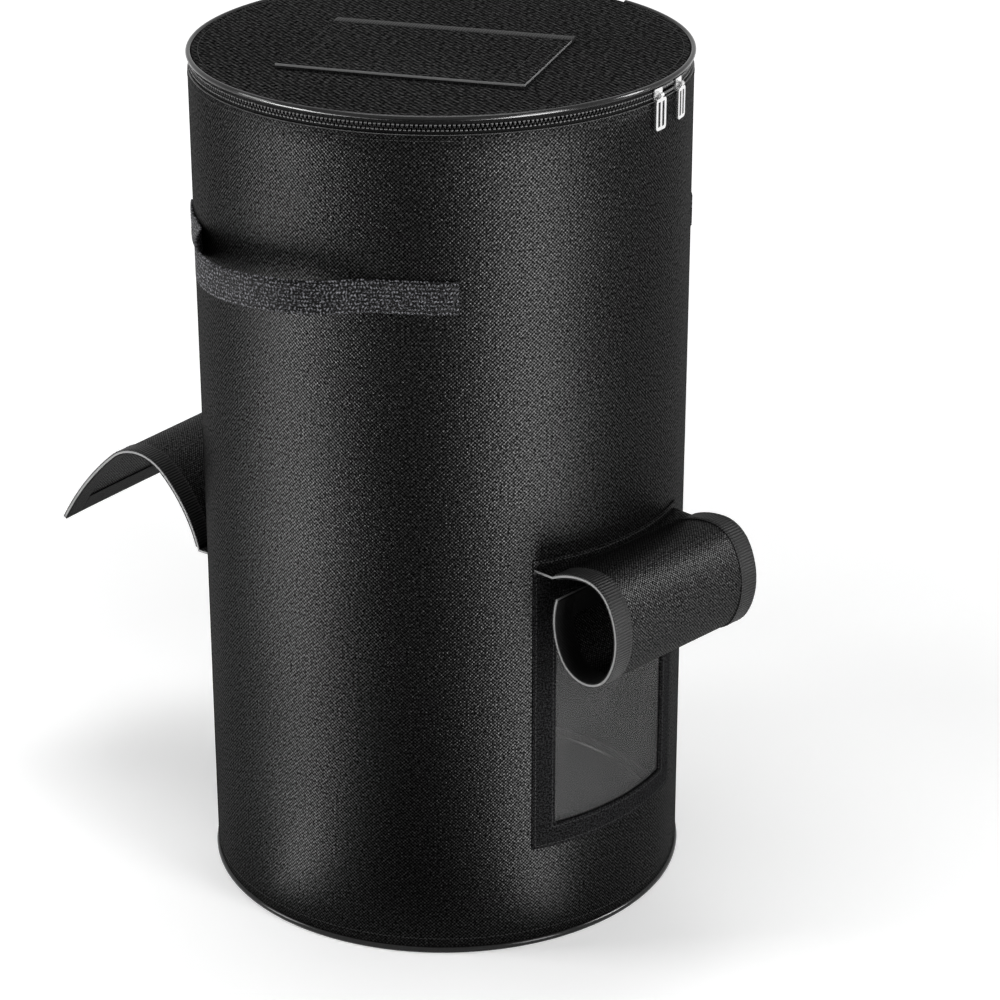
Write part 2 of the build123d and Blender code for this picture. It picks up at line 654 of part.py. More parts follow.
print("front flap length", round(arc_length(front_arcs()), 1))
print("rear flap length", round(arc_length(rear_arcs()), 1))
print("rear flap ends at", [round(value, 1) for value in arc_end(rear_arcs())])
print("lid top", round(LID_TOP, 2), "fold line", round(FOLD_DISTANCE, 2))
print("zip", round(ZIP_START, 2), round(ZIP_END, 2), "middle", round(ZIP_MIDDLE, 2))
print("tab axis", round(tab_axis(), 3), "feed hinge", [round(value, 3) for value in feed_hinge()])
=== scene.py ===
# %% [markdown]
# # A fabric compost bin
# A tall round bag of black woven cloth, with a zipped lid, a window under a rolled flap, a hatch
# behind and two webbing handles. The imported solids give every size and every hinge. This lesson
# sews the cloth around them, so that each soft piece looks like what it is, and most pieces ride on their
# body.

# %% Load the frame
from math import asin, atan2, ceil, cos, degrees, pi, radians, sin, sqrt

import bmesh
import bpy
from mathutils import Matrix, Vector


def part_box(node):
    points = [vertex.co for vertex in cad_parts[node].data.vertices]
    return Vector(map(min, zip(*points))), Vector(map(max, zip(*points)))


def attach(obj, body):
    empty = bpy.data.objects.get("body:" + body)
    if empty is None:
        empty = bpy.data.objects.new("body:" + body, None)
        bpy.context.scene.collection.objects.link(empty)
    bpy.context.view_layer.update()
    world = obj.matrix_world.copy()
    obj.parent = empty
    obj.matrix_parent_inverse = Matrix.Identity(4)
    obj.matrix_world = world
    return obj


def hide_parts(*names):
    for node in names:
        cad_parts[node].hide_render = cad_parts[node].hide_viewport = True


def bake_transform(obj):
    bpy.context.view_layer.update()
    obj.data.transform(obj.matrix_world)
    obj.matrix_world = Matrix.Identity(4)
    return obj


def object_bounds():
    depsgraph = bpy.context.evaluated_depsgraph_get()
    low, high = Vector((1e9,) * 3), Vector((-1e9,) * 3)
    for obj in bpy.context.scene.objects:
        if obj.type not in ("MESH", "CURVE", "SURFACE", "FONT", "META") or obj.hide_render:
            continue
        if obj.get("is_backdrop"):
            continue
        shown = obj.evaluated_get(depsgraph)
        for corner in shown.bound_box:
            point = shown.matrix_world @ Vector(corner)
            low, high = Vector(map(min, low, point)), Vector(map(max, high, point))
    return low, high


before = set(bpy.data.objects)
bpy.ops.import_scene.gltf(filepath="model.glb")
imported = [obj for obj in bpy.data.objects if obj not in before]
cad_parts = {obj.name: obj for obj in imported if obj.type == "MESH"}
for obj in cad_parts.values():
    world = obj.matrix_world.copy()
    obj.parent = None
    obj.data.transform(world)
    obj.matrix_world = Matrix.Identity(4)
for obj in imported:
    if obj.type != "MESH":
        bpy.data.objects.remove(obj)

cad_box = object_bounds()
MM = 0.001
print("solids' box", [[round(value, 4) for value in corner] for corner in cad_box])

# %% [markdown]
# ## Camera
# The bin stands a little left of the middle and is seen from above the lid with a long lens, so its
# sides stay nearly parallel. The place comes from the lid's ellipse: how flat it is gives the tilt,
# and how little the bag narrows towards the floor gives the distance.

# %% Camera
CAMERA_PLACE = (0.0, -2.7, 1.551)
CAMERA_TILT = 66.17
CAMERA_YAW = -1.11
CAMERA_LENS, CAMERA_SENSOR = 112.5, 36.0


def add(name, data):
    """Puts a camera, a lamp or a mesh into the scene."""
    made = bpy.data.objects.new(name, data)
    bpy.context.scene.collection.objects.link(made)
    return made


camera_data = bpy.data.cameras.new("camera")
camera_data.lens = CAMERA_LENS
camera_data.sensor_width = CAMERA_SENSOR
camera = add("camera", camera_data)
camera.location = CAMERA_PLACE
camera.rotation_euler = (radians(CAMERA_TILT), 0.0, radians(CAMERA_YAW))
bpy.context.scene.camera = camera
bpy.context.scene.view_settings.view_transform = "Standard"
print("camera lens", camera_data.lens)

# %% [markdown]
# ## Studio
# Black cloth shows its shape only by what it reflects. Seen from above, an upright wall mirrors the
# ground beside it, so the two bright stripes come from soft panels that lie on the floor. A panel lies
# where the stripe's mirror image falls, and widens with distance, so that the stripe keeps its width.
# A strip on the right does the same for the rolled flap, along its top. Only reflections see the
# panels and the strip. Two boxes beside the bin and a broad one above give the plain light,
# at which a colour shows about as it is written.

# %% Helpers for directions round the bag
def out(azimuth):
    """Straight out of the bag at an azimuth, which runs from the front towards the right."""
    return Vector((sin(radians(azimuth)), -cos(radians(azimuth)), 0.0))


def along(azimuth):
    """Along the wall at an azimuth, towards rising azimuths."""
    return Vector((cos(radians(azimuth)), sin(radians(azimuth)), 0.0))


UP = Vector((0.0, 0.0, 1.0))

# %% Soft boxes
def soft_box(name, azimuth, distance, height, width, length, watts, aim):
    """A rectangular lamp that faces a point on the bag's axis."""
    data = bpy.data.lights.new(name, "AREA")
    data.shape = "RECTANGLE"
    data.size = width
    data.size_y = length
    data.energy = watts
    lamp = add(name, data)
    lamp.location = out(azimuth) * distance + UP * height
    lamp.rotation_euler = (UP * aim - lamp.location).to_track_quat("-Z", "Y").to_euler()
    lamp.visible_camera = False
    return lamp


SIDE_BOX = {"distance": 1.6, "height": 0.9, "width": 0.5, "length": 1.0, "watts": 16.0, "aim": 0.4}
soft_box("left_box", -84.0, **SIDE_BOX)
soft_box("right_box", 42.0, **SIDE_BOX)
soft_box("top_box", 180.0, distance=0.3, height=2.8, width=1.4, length=1.0, watts=28.0, aim=0.6)
print("side boxes at", SIDE_BOX["watts"], "watts each")

# %% Floor panels
STRIPES = {"left": (-38.0, 1.1), "right": (22.5, 1.3)}
PANEL_ENDS = (0.06, 0.25, 0.5, 0.9, 1.6, 2.7)
PANEL_SPREAD, PANEL_LIFT = 0.45, 0.01
PANEL_GLOW, GLOW_START, GLOW_GAIN = 25.0, 0.6, 0.5
WALL_RADIUS = 0.225

for side, (azimuth, share) in STRIPES.items():
    foot, way = out(azimuth) * WALL_RADIUS, out(2 * azimuth)
    for number, (near, far) in enumerate(zip(PANEL_ENDS, PANEL_ENDS[1:])):
        middle = (near + far) / 2
        data = bpy.data.lights.new(f"{side}_panel_{number}", "AREA")
        data.shape = "RECTANGLE"
        data.size, data.size_y = PANEL_SPREAD * middle, far - near
        data.energy = PANEL_GLOW * share * (GLOW_START + GLOW_GAIN * middle) * pi * data.size * data.size_y
        panel = add(data.name, data)
        turn = Matrix((along(2 * azimuth), way, -UP)).transposed().to_4x4()
        panel.matrix_world = Matrix.Translation(foot + way * middle + UP * PANEL_LIFT) @ turn
        panel.visible_camera = False
        panel.visible_diffuse = False
roll_strip = soft_box(
    "roll_strip", 88.0, distance=1.5, height=1.13, width=0.3, length=0.8, watts=24.0, aim=0.37
)
roll_strip.visible_diffuse = False

# %% [markdown]
# Between the stripes the cloth is nearly black. In a white room it would mirror the pale floor in
# front of it, so a black card lies there, as a photographer would lay one. Only reflections see it.

# %% Black card
CARD_FROM, CARD_TO, CARD_STEPS = -21.0, 6.0, 8
CARD_NEAR, CARD_FAR, CARD_LIFT = 0.05, 2.7, 0.004
CARD_BLACK = (0.004, 0.004, 0.004, 1.0)

corners, strips = [], []
for number in range(CARD_STEPS + 1):
    azimuth = CARD_FROM + (CARD_TO - CARD_FROM) * number / CARD_STEPS
    for reach in (CARD_NEAR, CARD_FAR):
        corners.append(out(azimuth) * WALL_RADIUS + out(2 * azimuth) * reach + UP * CARD_LIFT)
    if number:
        strips.append((2 * number - 2, 2 * number - 1, 2 * number + 1, 2 * number))
card_mesh = bpy.data.meshes.new("black_card")
card_mesh.from_pydata(corners, [], strips)
card_paint = bpy.data.materials.new("card black")
card_paint.use_nodes = True
card_shader = card_paint.node_tree.nodes["Principled BSDF"]
card_shader.inputs["Base Color"].default_value = CARD_BLACK
card_shader.inputs["Specular IOR Level"].default_value = 0.0
card_mesh.materials.append(card_paint)
card = add("black_card", card_mesh)
for kind in ("camera", "diffuse", "transmission", "volume_scatter", "shadow"):
    setattr(card, "visible_" + kind, False)
card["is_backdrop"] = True
print("card", len(strips), "strips")

# %% [markdown]
# The room is white to the eye and in reflections, and gives only a weak light, so that the lamps draw
# the shadow. The pale floor glows a little of itself, least round the bin, where the shadow lies, and
# most far off, where it has to meet the white of the room.

# %% White room
ROOM_LIGHT, ROOM_SEEN = 0.24, 1.0


def seen_directly(tree):
    """1 where the eye, a mirror or clear film looks at a surface, and 0 where it only gives light."""
    ray = tree.nodes.new("ShaderNodeLightPath")
    shown = ray.outputs["Is Camera Ray"]
    for kind in ("Is Glossy Ray", "Is Transmission Ray"):
        either = tree.nodes.new("ShaderNodeMath")
        either.operation = "MAXIMUM"
        tree.links.new(shown, either.inputs[0])
        tree.links.new(ray.outputs[kind], either.inputs[1])
        shown = either.outputs[0]
    return shown


world = bpy.data.worlds.new("room")
bpy.context.scene.world = world
world.use_nodes = True
room = world.node_tree
room.nodes.clear()
level = room.nodes.new("ShaderNodeMapRange")
level.inputs["To Min"].default_value = ROOM_LIGHT
level.inputs["To Max"].default_value = ROOM_SEEN
room.links.new(seen_directly(room), level.inputs["Value"])
white = room.nodes.new("ShaderNodeBackground")
room.links.new(level.outputs["Result"], white.inputs["Strength"])
sky = room.nodes.new("ShaderNodeOutputWorld")
room.links.new(white.outputs[0], sky.inputs["Surface"])
print("room light", ROOM_LIGHT)

# %% Pale floor
FLOOR_SIZE = 60.0
FLOOR_PAINT = {"Base Color": (0.86, 0.86, 0.86, 1.0), "Roughness": 0.9, "Specular IOR Level": 0.1}
FLOOR_WHITE = (1.0, 1.0, 1.0, 1.0)
NEAR, FAR = 0.6, 2.4
NEAR_GLOW, FAR_GLOW = 0.32, 0.88

bpy.ops.mesh.primitive_plane_add(size=FLOOR_SIZE)
floor = bpy.context.object
floor.name = "studio_floor"
paint = bpy.data.materials.new("pale floor")
paint.use_nodes = True
tree = paint.node_tree
shader = tree.nodes["Principled BSDF"]
for socket, value in FLOOR_PAINT.items():
    shader.inputs[socket].default_value = value
floor_spot = tree.nodes.new("ShaderNodeTexCoord")
distance = tree.nodes.new("ShaderNodeVectorMath")
distance.operation = "LENGTH"
tree.links.new(floor_spot.outputs["Object"], distance.inputs[0])
fade = tree.nodes.new("ShaderNodeMapRange")
for limit, value in (("From Min", NEAR), ("From Max", FAR), ("To Min", NEAR_GLOW), ("To Max", FAR_GLOW)):
    fade.inputs[limit].default_value = value
tree.links.new(distance.outputs["Value"], fade.inputs["Value"])
glow = tree.nodes.new("ShaderNodeMath")
glow.operation = "MULTIPLY"
tree.links.new(fade.outputs["Result"], glow.inputs[1])
tree.links.new(seen_directly(tree), glow.inputs[0])
shader.inputs["Emission Color"].default_value = FLOOR_WHITE
tree.links.new(glow.outputs[0], shader.inputs["Emission Strength"])
floor.data.materials.append(paint)
floor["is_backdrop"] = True
print("floor", FLOOR_SIZE, "m square")

# %% [markdown]
# ## Finishes
# Every finish is one shader fed by procedural textures. The cloth is a heavy oxford weave: threads
# that go over and under make a chequer of small bumps, which two crossed sine waves give, and a
# little noise makes some threads brighter. The waves run on flat coordinates in metres, the way the
# piece lay when it was cut, so that the weave has one scale on every piece and follows each fold. The
# coated face of the bag and its flaps shines. The lid's cloth and the back of the weave are dull.

# %% Node helpers
def finish(name, **constants):
    """A material with one shader, whose constant values are set on the shader's own sockets."""
    made = bpy.data.materials.new(name)
    made.use_nodes = True
    for socket, value in constants.items():
        made.node_tree.nodes["Principled BSDF"].inputs[socket.replace("_", " ")].default_value = value
    return made


def node(material, kind, settings=None, **inputs):
    """Adds a node, sets or links its inputs by name, and returns it."""
    made = material.node_tree.nodes.new("ShaderNode" + kind)
    for setting, value in (settings or {}).items():
        setattr(made, setting, value)
    for name, value in inputs.items():
        socket = made.inputs[int(name[1:])] if name[1:].isdigit() else made.inputs[name.replace("_", " ")]
        if isinstance(value, bpy.types.NodeSocket):
            material.node_tree.links.new(value, socket)
        else:
            socket.default_value = value
    return made


def sums(material, operation, first, second=0.0):
    return node(material, "Math", {"operation": operation}, i0=first, i1=second).outputs[0]


def wave(material, length, period):
    """A sine wave, from -1 to 1, along a length in metres."""
    return sums(material, "SINE", sums(material, "MULTIPLY", length, 2 * pi / period))


def speckle(material, place, size, detail=2.0):
    """Noise from 0 to 1 with features of about a size in metres."""
    texture = node(material, "TexNoise", Vector=place, Scale=1.0 / size, Detail=detail)
    return texture.outputs[0]


def shades(material, share, dark, light):
    """A grey between two levels."""
    mixed = node(material, "Mix", {"data_type": "RGBA"}, i0=share)
    mixed.inputs[6].default_value = (dark[0], dark[1], dark[2], 1.0)
    mixed.inputs[7].default_value = (light[0], light[1], light[2], 1.0)
    return mixed.outputs[2]


def dress(material, colour=None, roughness=None, height=None, relief=0.0, shine=None):
    """Links a finish's colour, roughness, bump and shine to its shader."""
    shader = material.node_tree.nodes["Principled BSDF"]
    links = material.node_tree.links
    if colour is not None:
        links.new(colour, shader.inputs["Base Color"])
    if roughness is not None:
        links.new(roughness, shader.inputs["Roughness"])
    if height is not None:
        bump = node(material, "Bump", Height=height, Distance=relief)
        links.new(bump.outputs[0], shader.inputs["Normal"])
    if shine is not None:
        links.new(shine, shader.inputs["Specular IOR Level"])
    return material


def flat_place(material):
    """The flat coordinates of the cloth, and its two parts."""
    place = node(material, "UVMap").outputs[0]
    parts = node(material, "SeparateXYZ", Vector=place)
    return place, parts.outputs[0], parts.outputs[1]


def scaled(material, share, low, high):
    """Takes a share from 0 to 1 to a range."""
    return sums(material, "ADD", sums(material, "MULTIPLY", share, high - low), low)


# %% Woven cloth
THREAD = 1.7 * MM


def grey(level, blue=0.0):
    """A dark neutral, a touch cooler where blue is above nothing."""
    return (level, level, level * (1.0 + blue))


def woven(name, slack, light, thread, relief, shine=None, **constants):
    """Oxford weave: threads that shine where they come up, and hide one another when seen edge-on."""
    made = finish(name, **constants)
    place, u, v = flat_place(made)
    chequer = sums(made, "MULTIPLY", wave(made, u, 2 * thread), wave(made, v, 2 * thread))
    threads = scaled(made, chequer, 0.5, 1.0)
    uneven = speckle(made, place, thread * 1.4)
    height = sums(made, "MULTIPLY", threads, scaled(made, uneven, -0.7, 2.3))
    dust = speckle(made, place, 0.16, 3.0)
    level = sums(made, "MULTIPLY", sums(made, "POWER", height, 1.6), scaled(made, dust, 0.7, 1.3))
    colour = shades(made, level, slack, light)
    roughness = scaled(made, uneven, 0.46, 0.36)
    if shine is None:
        return dress(made, colour, roughness, height, relief)
    edge_on = node(made, "LayerWeight", Blend=0.5).outputs["Facing"]
    open_weave = sums(made, "POWER", sums(made, "SUBTRACT", 1.0, edge_on), 1.5)
    gloss = sums(made, "MULTIPLY", scaled(made, level, 0.0, shine), open_weave)
    return dress(made, colour, roughness, height, relief, gloss)


bag_cloth = woven("bag cloth", grey(0.0008), grey(0.012), THREAD, 0.22 * MM, 0.31)
lid_cloth = woven("lid cloth", grey(0.001), grey(0.075), 3.0 * MM, 0.20 * MM, Specular_IOR_Level=0.0)
flap_cloth = woven("flap cloth", grey(0.001), grey(0.016), 1.5 * MM, 0.24 * MM, 0.8)
bag_lining = woven("bag lining", grey(0.001), grey(0.020), THREAD, 0.18 * MM, Specular_IOR_Level=0.0)
print("woven finishes", bag_cloth.name, lid_cloth.name, flap_cloth.name, bag_lining.name)

# %% [markdown]
# ## Tapes
# Five tapes hold the bag together, and each has its own structure. Binding tape is grosgrain, with
# ribs straight across it, and zip tape has the same ribs, only finer. Handle webbing is coarse, with
# pale flecks where its thick yarns come up. Loop tape is a velvet of tiny loops without direction, and
# hook tape has rows of fine hooks.

# %% Tape finishes
def ribbed(name, slack, light, rib, relief, **constants):
    """Grosgrain: ribs across the tape, whose length runs along the second flat coordinate."""
    made = finish(name, **constants)
    place, u, v = flat_place(made)
    ribs = scaled(made, wave(made, v, rib), 0.5, 1.0)
    uneven = speckle(made, place, rib * 0.8)
    height = sums(made, "MULTIPLY", ribs, scaled(made, uneven, 0.6, 1.2))
    colour = shades(made, sums(made, "POWER", height, 1.5), slack, light)
    roughness = scaled(made, uneven, 0.6, 0.42)
    return dress(made, colour, roughness, height, relief)


def flecked(name, slack, light, yarn, relief, **constants):
    """Webbing: rows along the strap, crossed by slanting stitches of yarn that are worn pale in places."""
    made = finish(name, **constants)
    place, u, v = flat_place(made)
    rows = scaled(made, wave(made, v, 2 * yarn), 0.5, 1.0)
    slant = sums(made, "MULTIPLY", wave(made, v, 4 * yarn), 0.4 * yarn)
    yarns = scaled(made, wave(made, sums(made, "ADD", u, slant), 1.5 * yarn), 0.5, 1.0)
    uneven = scaled(made, speckle(made, place, 1.1 * yarn), -6.6, 7.0)
    worn = scaled(made, speckle(made, place, 12.0 * MM), 0.4, 1.6)
    height = sums(made, "MULTIPLY", scaled(made, rows, 0.2, 1.0), scaled(made, yarns, 0.15, 1.0))
    fleck = sums(made, "MULTIPLY", height, sums(made, "MULTIPLY", uneven, worn))
    colour = shades(made, fleck, slack, light)
    return dress(made, colour, scaled(made, rows, 0.7, 0.5), height, relief)


def napped(name, slack, light, nap, relief, **constants):
    """Loop pile: a fine fuzz without direction, a little matted in places."""
    made = finish(name, **constants)
    place, u, v = flat_place(made)
    fuzz = scaled(made, speckle(made, place, nap, 4.0), -1.6, 2.8)
    matted = speckle(made, place, 9.0 * MM)
    height = sums(made, "MULTIPLY", fuzz, scaled(made, matted, 0.7, 1.3))
    colour = shades(made, sums(made, "POWER", height, 1.7), slack, light)
    return dress(made, colour, None, height, relief)


binding_tape = ribbed("binding tape", grey(0.003), grey(0.030), 2.7 * MM, 0.5 * MM, Specular_IOR_Level=0.12)
zip_tape = ribbed("zip tape", grey(0.002), grey(0.010), 1.0 * MM, 0.15 * MM, Specular_IOR_Level=0.02)
webbing = flecked("handle webbing", grey(0.001), grey(0.25, 0.08), 1.8 * MM, 0.4 * MM, Specular_IOR_Level=0.04)
loop_pile = napped(
    "loop pile", grey(0.001, 0.05), grey(0.027, 0.05), 1.7 * MM, 0.6 * MM,
    Roughness=0.85, Specular_IOR_Level=0.02,
)
hook_rows = ribbed("hook tape", grey(0.004), grey(0.025), 1.3 * MM, 0.4 * MM, Specular_IOR_Level=0.04)
print("tapes", binding_tape.name, zip_tape.name, webbing.name, loop_pile.name, hook_rows.name)

# %% [markdown]
# ## Small finishes
# The piping is a cord under glossy coated cloth, which is why it draws a bright line round the lid.
# The flaps' cut edges are sealed and paler than their faces, partly their own colour and partly a painted
# highlight, and the feed flap's pale edge is a painted highlight, more even.
# Sliders and pulls are plated zinc, and the window is a clear film with the faint haze of soft plastic.

# %% Small finishes
def grained(name, slack, light, size, smooth, rough, relief, **constants):
    """A moulded, coated or plated surface: faint grain in its colour, gloss and relief."""
    made = finish(name, **constants)
    place = node(made, "TexCoord").outputs["Object"]
    grain = speckle(made, place, size, 3.0)
    colour = shades(made, grain, slack, light)
    return dress(made, colour, scaled(made, grain, smooth, rough), grain, relief)


coated_piping = grained(
    "coated piping", grey(0.006), grey(0.020), 2.0 * MM, 0.10, 0.17, 0.05 * MM, Specular_IOR_Level=0.24
)
# The cut edge is paler than the cloth: partly the sealed edge's own colour, partly a painted highlight along
# it.
sealed_edge_and_highlight = grained("cut edge", grey(0.14), grey(0.34), 1.2 * MM, 0.5, 0.7, 0.1 * MM, Specular_IOR_Level=0.3)
plated_zinc = grained("plated zinc", grey(0.66), grey(0.84), 4.0 * MM, 0.16, 0.24, 0.004 * MM, Metallic=0.92)
# Painted highlight: the feed flap's rim is painted pale, as a bright line along its edge.
feed_edge_highlight = grained(
    "rubbed edge", grey(0.18), grey(0.30), 1.2 * MM, 0.5, 0.7, 0.1 * MM, Specular_IOR_Level=0.2
)
sewing_thread = grained(
    "sewing thread", grey(0.012), grey(0.045), 0.6 * MM, 0.5, 0.7, 0.05 * MM, Specular_IOR_Level=0.1
)
clear_film = grained(
    "clear film", grey(0.36), grey(0.60), 60.0 * MM, 0.38, 0.46, 0.02 * MM, Alpha=0.07, Specular_IOR_Level=0.2
)
print("finishes in all", len(bpy.data.materials))

# %% [markdown]
# ## How a piece of cloth is made
# Cloth could be modelled as a solid block, but a thin sheet that is placed point by point keeps its
# flat cut and its weave. Each sheet is a grid: a column and a row are lengths on the flat cut, and a
# small function says where that point lies on the sewn bag. A solidify step then gives it thickness,
# with a second finish on the cut edge, and a bevel rounds the edge so that it catches the light.

# %% Cloth helpers
SHARP_EDGE, SHARP_CORNER = 40.0, 60.0


def steps(low, high, size, *marks):
    """Evenly spaced values from low to high, about a size apart, that also pass through the marks."""
    stops = [low, *sorted(mark for mark in marks if low < mark < high), high]
    values = [low]
    for first, last in zip(stops, stops[1:]):
        count = max(1, ceil((last - first) / size - 1e-6))
        values += [first + (last - first) * number / count for number in range(1, count + 1)]
    return values


def grid_mesh(name, place, columns, rows, wrap=False, keep=None, flat=None):
    """A grid of faces with flat coordinates in metres. Where it wraps, the last column is the first."""
    around = len(columns) - 1 if wrap else len(columns)
    points = [place(u, v) for v in rows for u in columns[:around]]
    faces, flats = [], []
    for row in range(len(rows) - 1):
        for column in range(len(columns) - 1):
            corners = [(column, row), (column + 1, row), (column + 1, row + 1), (column, row + 1)]
            middle = (columns[column] + columns[column + 1]) / 2, (rows[row] + rows[row + 1]) / 2
            if keep is not None and not keep(*middle):
                continue
            faces.append([line * around + post % around for post, line in corners])
            flats += [(columns[post], rows[line]) for post, line in corners]
    mesh = bpy.data.meshes.new(name)
    mesh.from_pydata(points, [], faces)
    layer = mesh.uv_layers.new(name="UVMap")
    for loop, cut in zip(layer.data, flats):
        loop.uv = flat(*cut) if flat else cut
    return mesh


def settle(piece):
    """Applies a piece's modifiers and smooths its shading, except across sharp edges."""
    depsgraph = bpy.context.evaluated_depsgraph_get()
    mesh = bpy.data.meshes.new_from_object(piece.evaluated_get(depsgraph))
    piece.modifiers.clear()
    piece.data = mesh
    mesh.shade_smooth()
    mesh.set_sharp_from_angle(angle=radians(SHARP_EDGE))
    return piece


def cloth(name, place, columns, rows, thickness, finishes, soft=0.0, **grid):
    """A sheet of cloth, made thick about its middle layer. A second finish goes on its cut edge."""
    mesh = grid_mesh(name, place, columns, rows, **grid)
    mesh.validate()
    for each in finishes:
        mesh.materials.append(each)
    piece = add(name, mesh)
    layer = piece.modifiers.new("thickness", "SOLIDIFY")
    layer.thickness = thickness
    layer.offset = 0.0
    layer.use_even_offset = True
    layer.material_offset_rim = len(finishes) - 1
    if soft:
        edge = piece.modifiers.new("soft edge", "BEVEL")
        edge.width = soft
        edge.segments = 2
        edge.angle_limit = radians(SHARP_CORNER)
    return settle(piece)


def sew(name, *pieces):
    """Joins several sheets of the same finishes into one piece."""
    joined = bmesh.new()
    for piece in pieces:
        joined.from_mesh(piece.data)
    mesh = bpy.data.meshes.new(name)
    joined.to_mesh(mesh)
    joined.free()
    for each in pieces[0].data.materials:
        mesh.materials.append(each)
    for piece in pieces:
        bpy.data.objects.remove(piece)
    mesh.set_sharp_from_angle(angle=radians(SHARP_EDGE))
    return add(name, mesh)


def fit(piece, body, slot, *nodes):
    """Lets a piece ride on a body and stand for its solids. The slot is not used."""
    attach(piece, body)
    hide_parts(*nodes)
    print(piece.name, len(piece.data.polygons), "faces on", body)
    return piece


# %% [markdown]
# ## The wall
# The wall is one long panel, wrapped into a tube and closed by a seam at the back. A perfect
# cylinder would look like pipe, so the cloth swells and dips by half a millimetre. Everything sewn
# to the wall asks the same function for its place, so it follows those swells and stays seated. The
# top of the wall's upper hem takes the pale cut-edge finish, here a painted highlight, and its inside shows
# the back of the weave.

# %% Wall places
BAG_RADIUS = 225.0 * MM
CLOTH = 2.4 * MM
WALL_BOTTOM, WALL_TOP = (corner.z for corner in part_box("wall_panel"))
SWELL = 0.5 * MM


def swell(azimuth, height):
    """How far the wall stands out of its true circle, in broad and narrow swells, nothing at the hems."""
    share = (height - WALL_BOTTOM) / (WALL_TOP - WALL_BOTTOM)
    hold = sin(pi * min(max(share, 0.0), 1.0))
    turn = radians(azimuth)
    return SWELL * hold * (0.6 * sin(3 * turn + 0.6 + 2.0 * share) + 0.4 * sin(8 * turn - 5.0 * share))


def on_wall(azimuth, height, lift=0.0):
    """A point on the wall's outer face, or lifted off it."""
    return out(azimuth) * (BAG_RADIUS + swell(azimuth, height) + lift) + UP * height


def round_wall(length):
    """The azimuth that a length along the wall reaches."""
    return degrees(length / BAG_RADIUS)


def wall_length(azimuth):
    return radians(azimuth) * BAG_RADIUS


# %% Door places
DOOR_HALF_ANGLE = 24.5
STRIP_WIDTH = 23.0 * MM
HEADER_DROP = 5.0 * MM
doors = {
    "front": {"azimuth": 44.5, "hinge": 384.0 * MM, "sill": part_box("front_loop_strips")[0].z},
    "rear": {"azimuth": -126.5, "hinge": 280.0 * MM, "sill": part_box("rear_loop_strips")[0].z},
}
for door in doors.values():
    door["half"] = wall_length(DOOR_HALF_ANGLE)
    door["middle"] = wall_length(door["azimuth"])
    door["head"] = door["hinge"] - HEADER_DROP
    door["left"] = door["middle"] - door["half"] + STRIP_WIDTH
    door["right"] = door["middle"] + door["half"] - STRIP_WIDTH
    door["low"] = door["sill"] + STRIP_WIDTH
    door["high"] = door["head"] - STRIP_WIDTH
print("door openings", {name: [round(door[k], 3) for k in ("low", "high")] for name, door in doors.items()})

# %% Wall panel
def outside_doors(u, v):
    """True where the wall is whole."""
    return not any(
        door["left"] < u < door["right"] and door["low"] < v < door["high"] for door in doors.values()
    )


CLOTH_STEP, WALL_ROW = 8.0 * MM, 20.0 * MM
HEM_DEPTH, FACING = 0.4 * MM, 0.6
around = steps(
    wall_length(-180.0), wall_length(180.0), CLOTH_STEP,
    *[door[side] for door in doors.values() for side in ("left", "right")],
)
upwards = steps(
    WALL_BOTTOM, WALL_TOP, WALL_ROW,
    *[door[side] for door in doors.values() for side in ("low", "high")],
)
bag_wall = cloth(
    "bag_wall", lambda u, v: on_wall(round_wall(u), v, -CLOTH / 2), around, upwards, CLOTH, [bag_cloth],
    soft=0.7 * MM, wrap=True, keep=outside_doors,
)
bag_wall.data.materials.append(sealed_edge_and_highlight)
bag_wall.data.materials.append(bag_lining)
# The upward faces at the top of the hem take the pale edge finish, a painted highlight along the hem. Faces
# turned inwards take the lining.
for face in bag_wall.data.polygons:
    if face.center.z > WALL_TOP - HEM_DEPTH and face.normal.z > FACING:
        face.material_index = 1
    elif face.normal.dot(Vector((face.center.x, face.center.y, 0.0)).normalized()) < -FACING:
        face.material_index = 2
fit(bag_wall, "bin", "bag_fabric", "wall_panel")

# %% [markdown]
# ## Floor and piping
# The floor is a disc of the same cloth, closed to the wall by a bead of piping that the bin stands
# on. Inside, a tape covers the seam. A bead is a ring of round sections, so it is built as a grid
# too: round the section one way and round the bag the other.

# %% Beads
BEAD_STEP = 1.5


def bead(name, radius, height, size, start, end, finish_of_bead, sides=14):
    """A round bead that follows the bag at a radius and height, between two azimuths."""
    def place(u, v):
        turn = 2 * pi * u
        return out(v) * (radius + size * cos(turn)) + UP * max(height + size * sin(turn), 0.0)

    section = [number / sides for number in range(sides + 1)]
    posts = steps(start, end, BEAD_STEP)
    mesh = grid_mesh(
        name, place, section, posts, wrap=True, flat=lambda u, v: (2 * pi * size * u, radians(v) * radius)
    )
    closed = bmesh.new()
    closed.from_mesh(mesh)
    if end - start >= 360.0:
        bmesh.ops.remove_doubles(closed, verts=closed.verts, dist=1e-6)
    else:
        bmesh.ops.holes_fill(closed, edges=closed.edges)
    bmesh.ops.recalc_face_normals(closed, faces=closed.faces)
    closed.to_mesh(mesh)
    closed.free()
    mesh.materials.append(finish_of_bead)
    mesh.shade_smooth()
    mesh.set_sharp_from_angle(angle=radians(SHARP_CORNER))
    return add(name, mesh)


def wall_tape(
    name, left, right, low, high, lift, thickness, finishes, soft=0.0, size=CLOTH_STEP, upright=False
):
    """A strip of tape on the wall, between two lengths round it and two heights."""
    return cloth(
        name, lambda u, v: on_wall(round_wall(u), v, lift), steps(left, right, size),
        steps(low, high, max(size, (high - low) / 12)), thickness, finishes, soft,
        flat=(lambda u, v: (u, v)) if upright else (lambda u, v: (v, u)),
    )


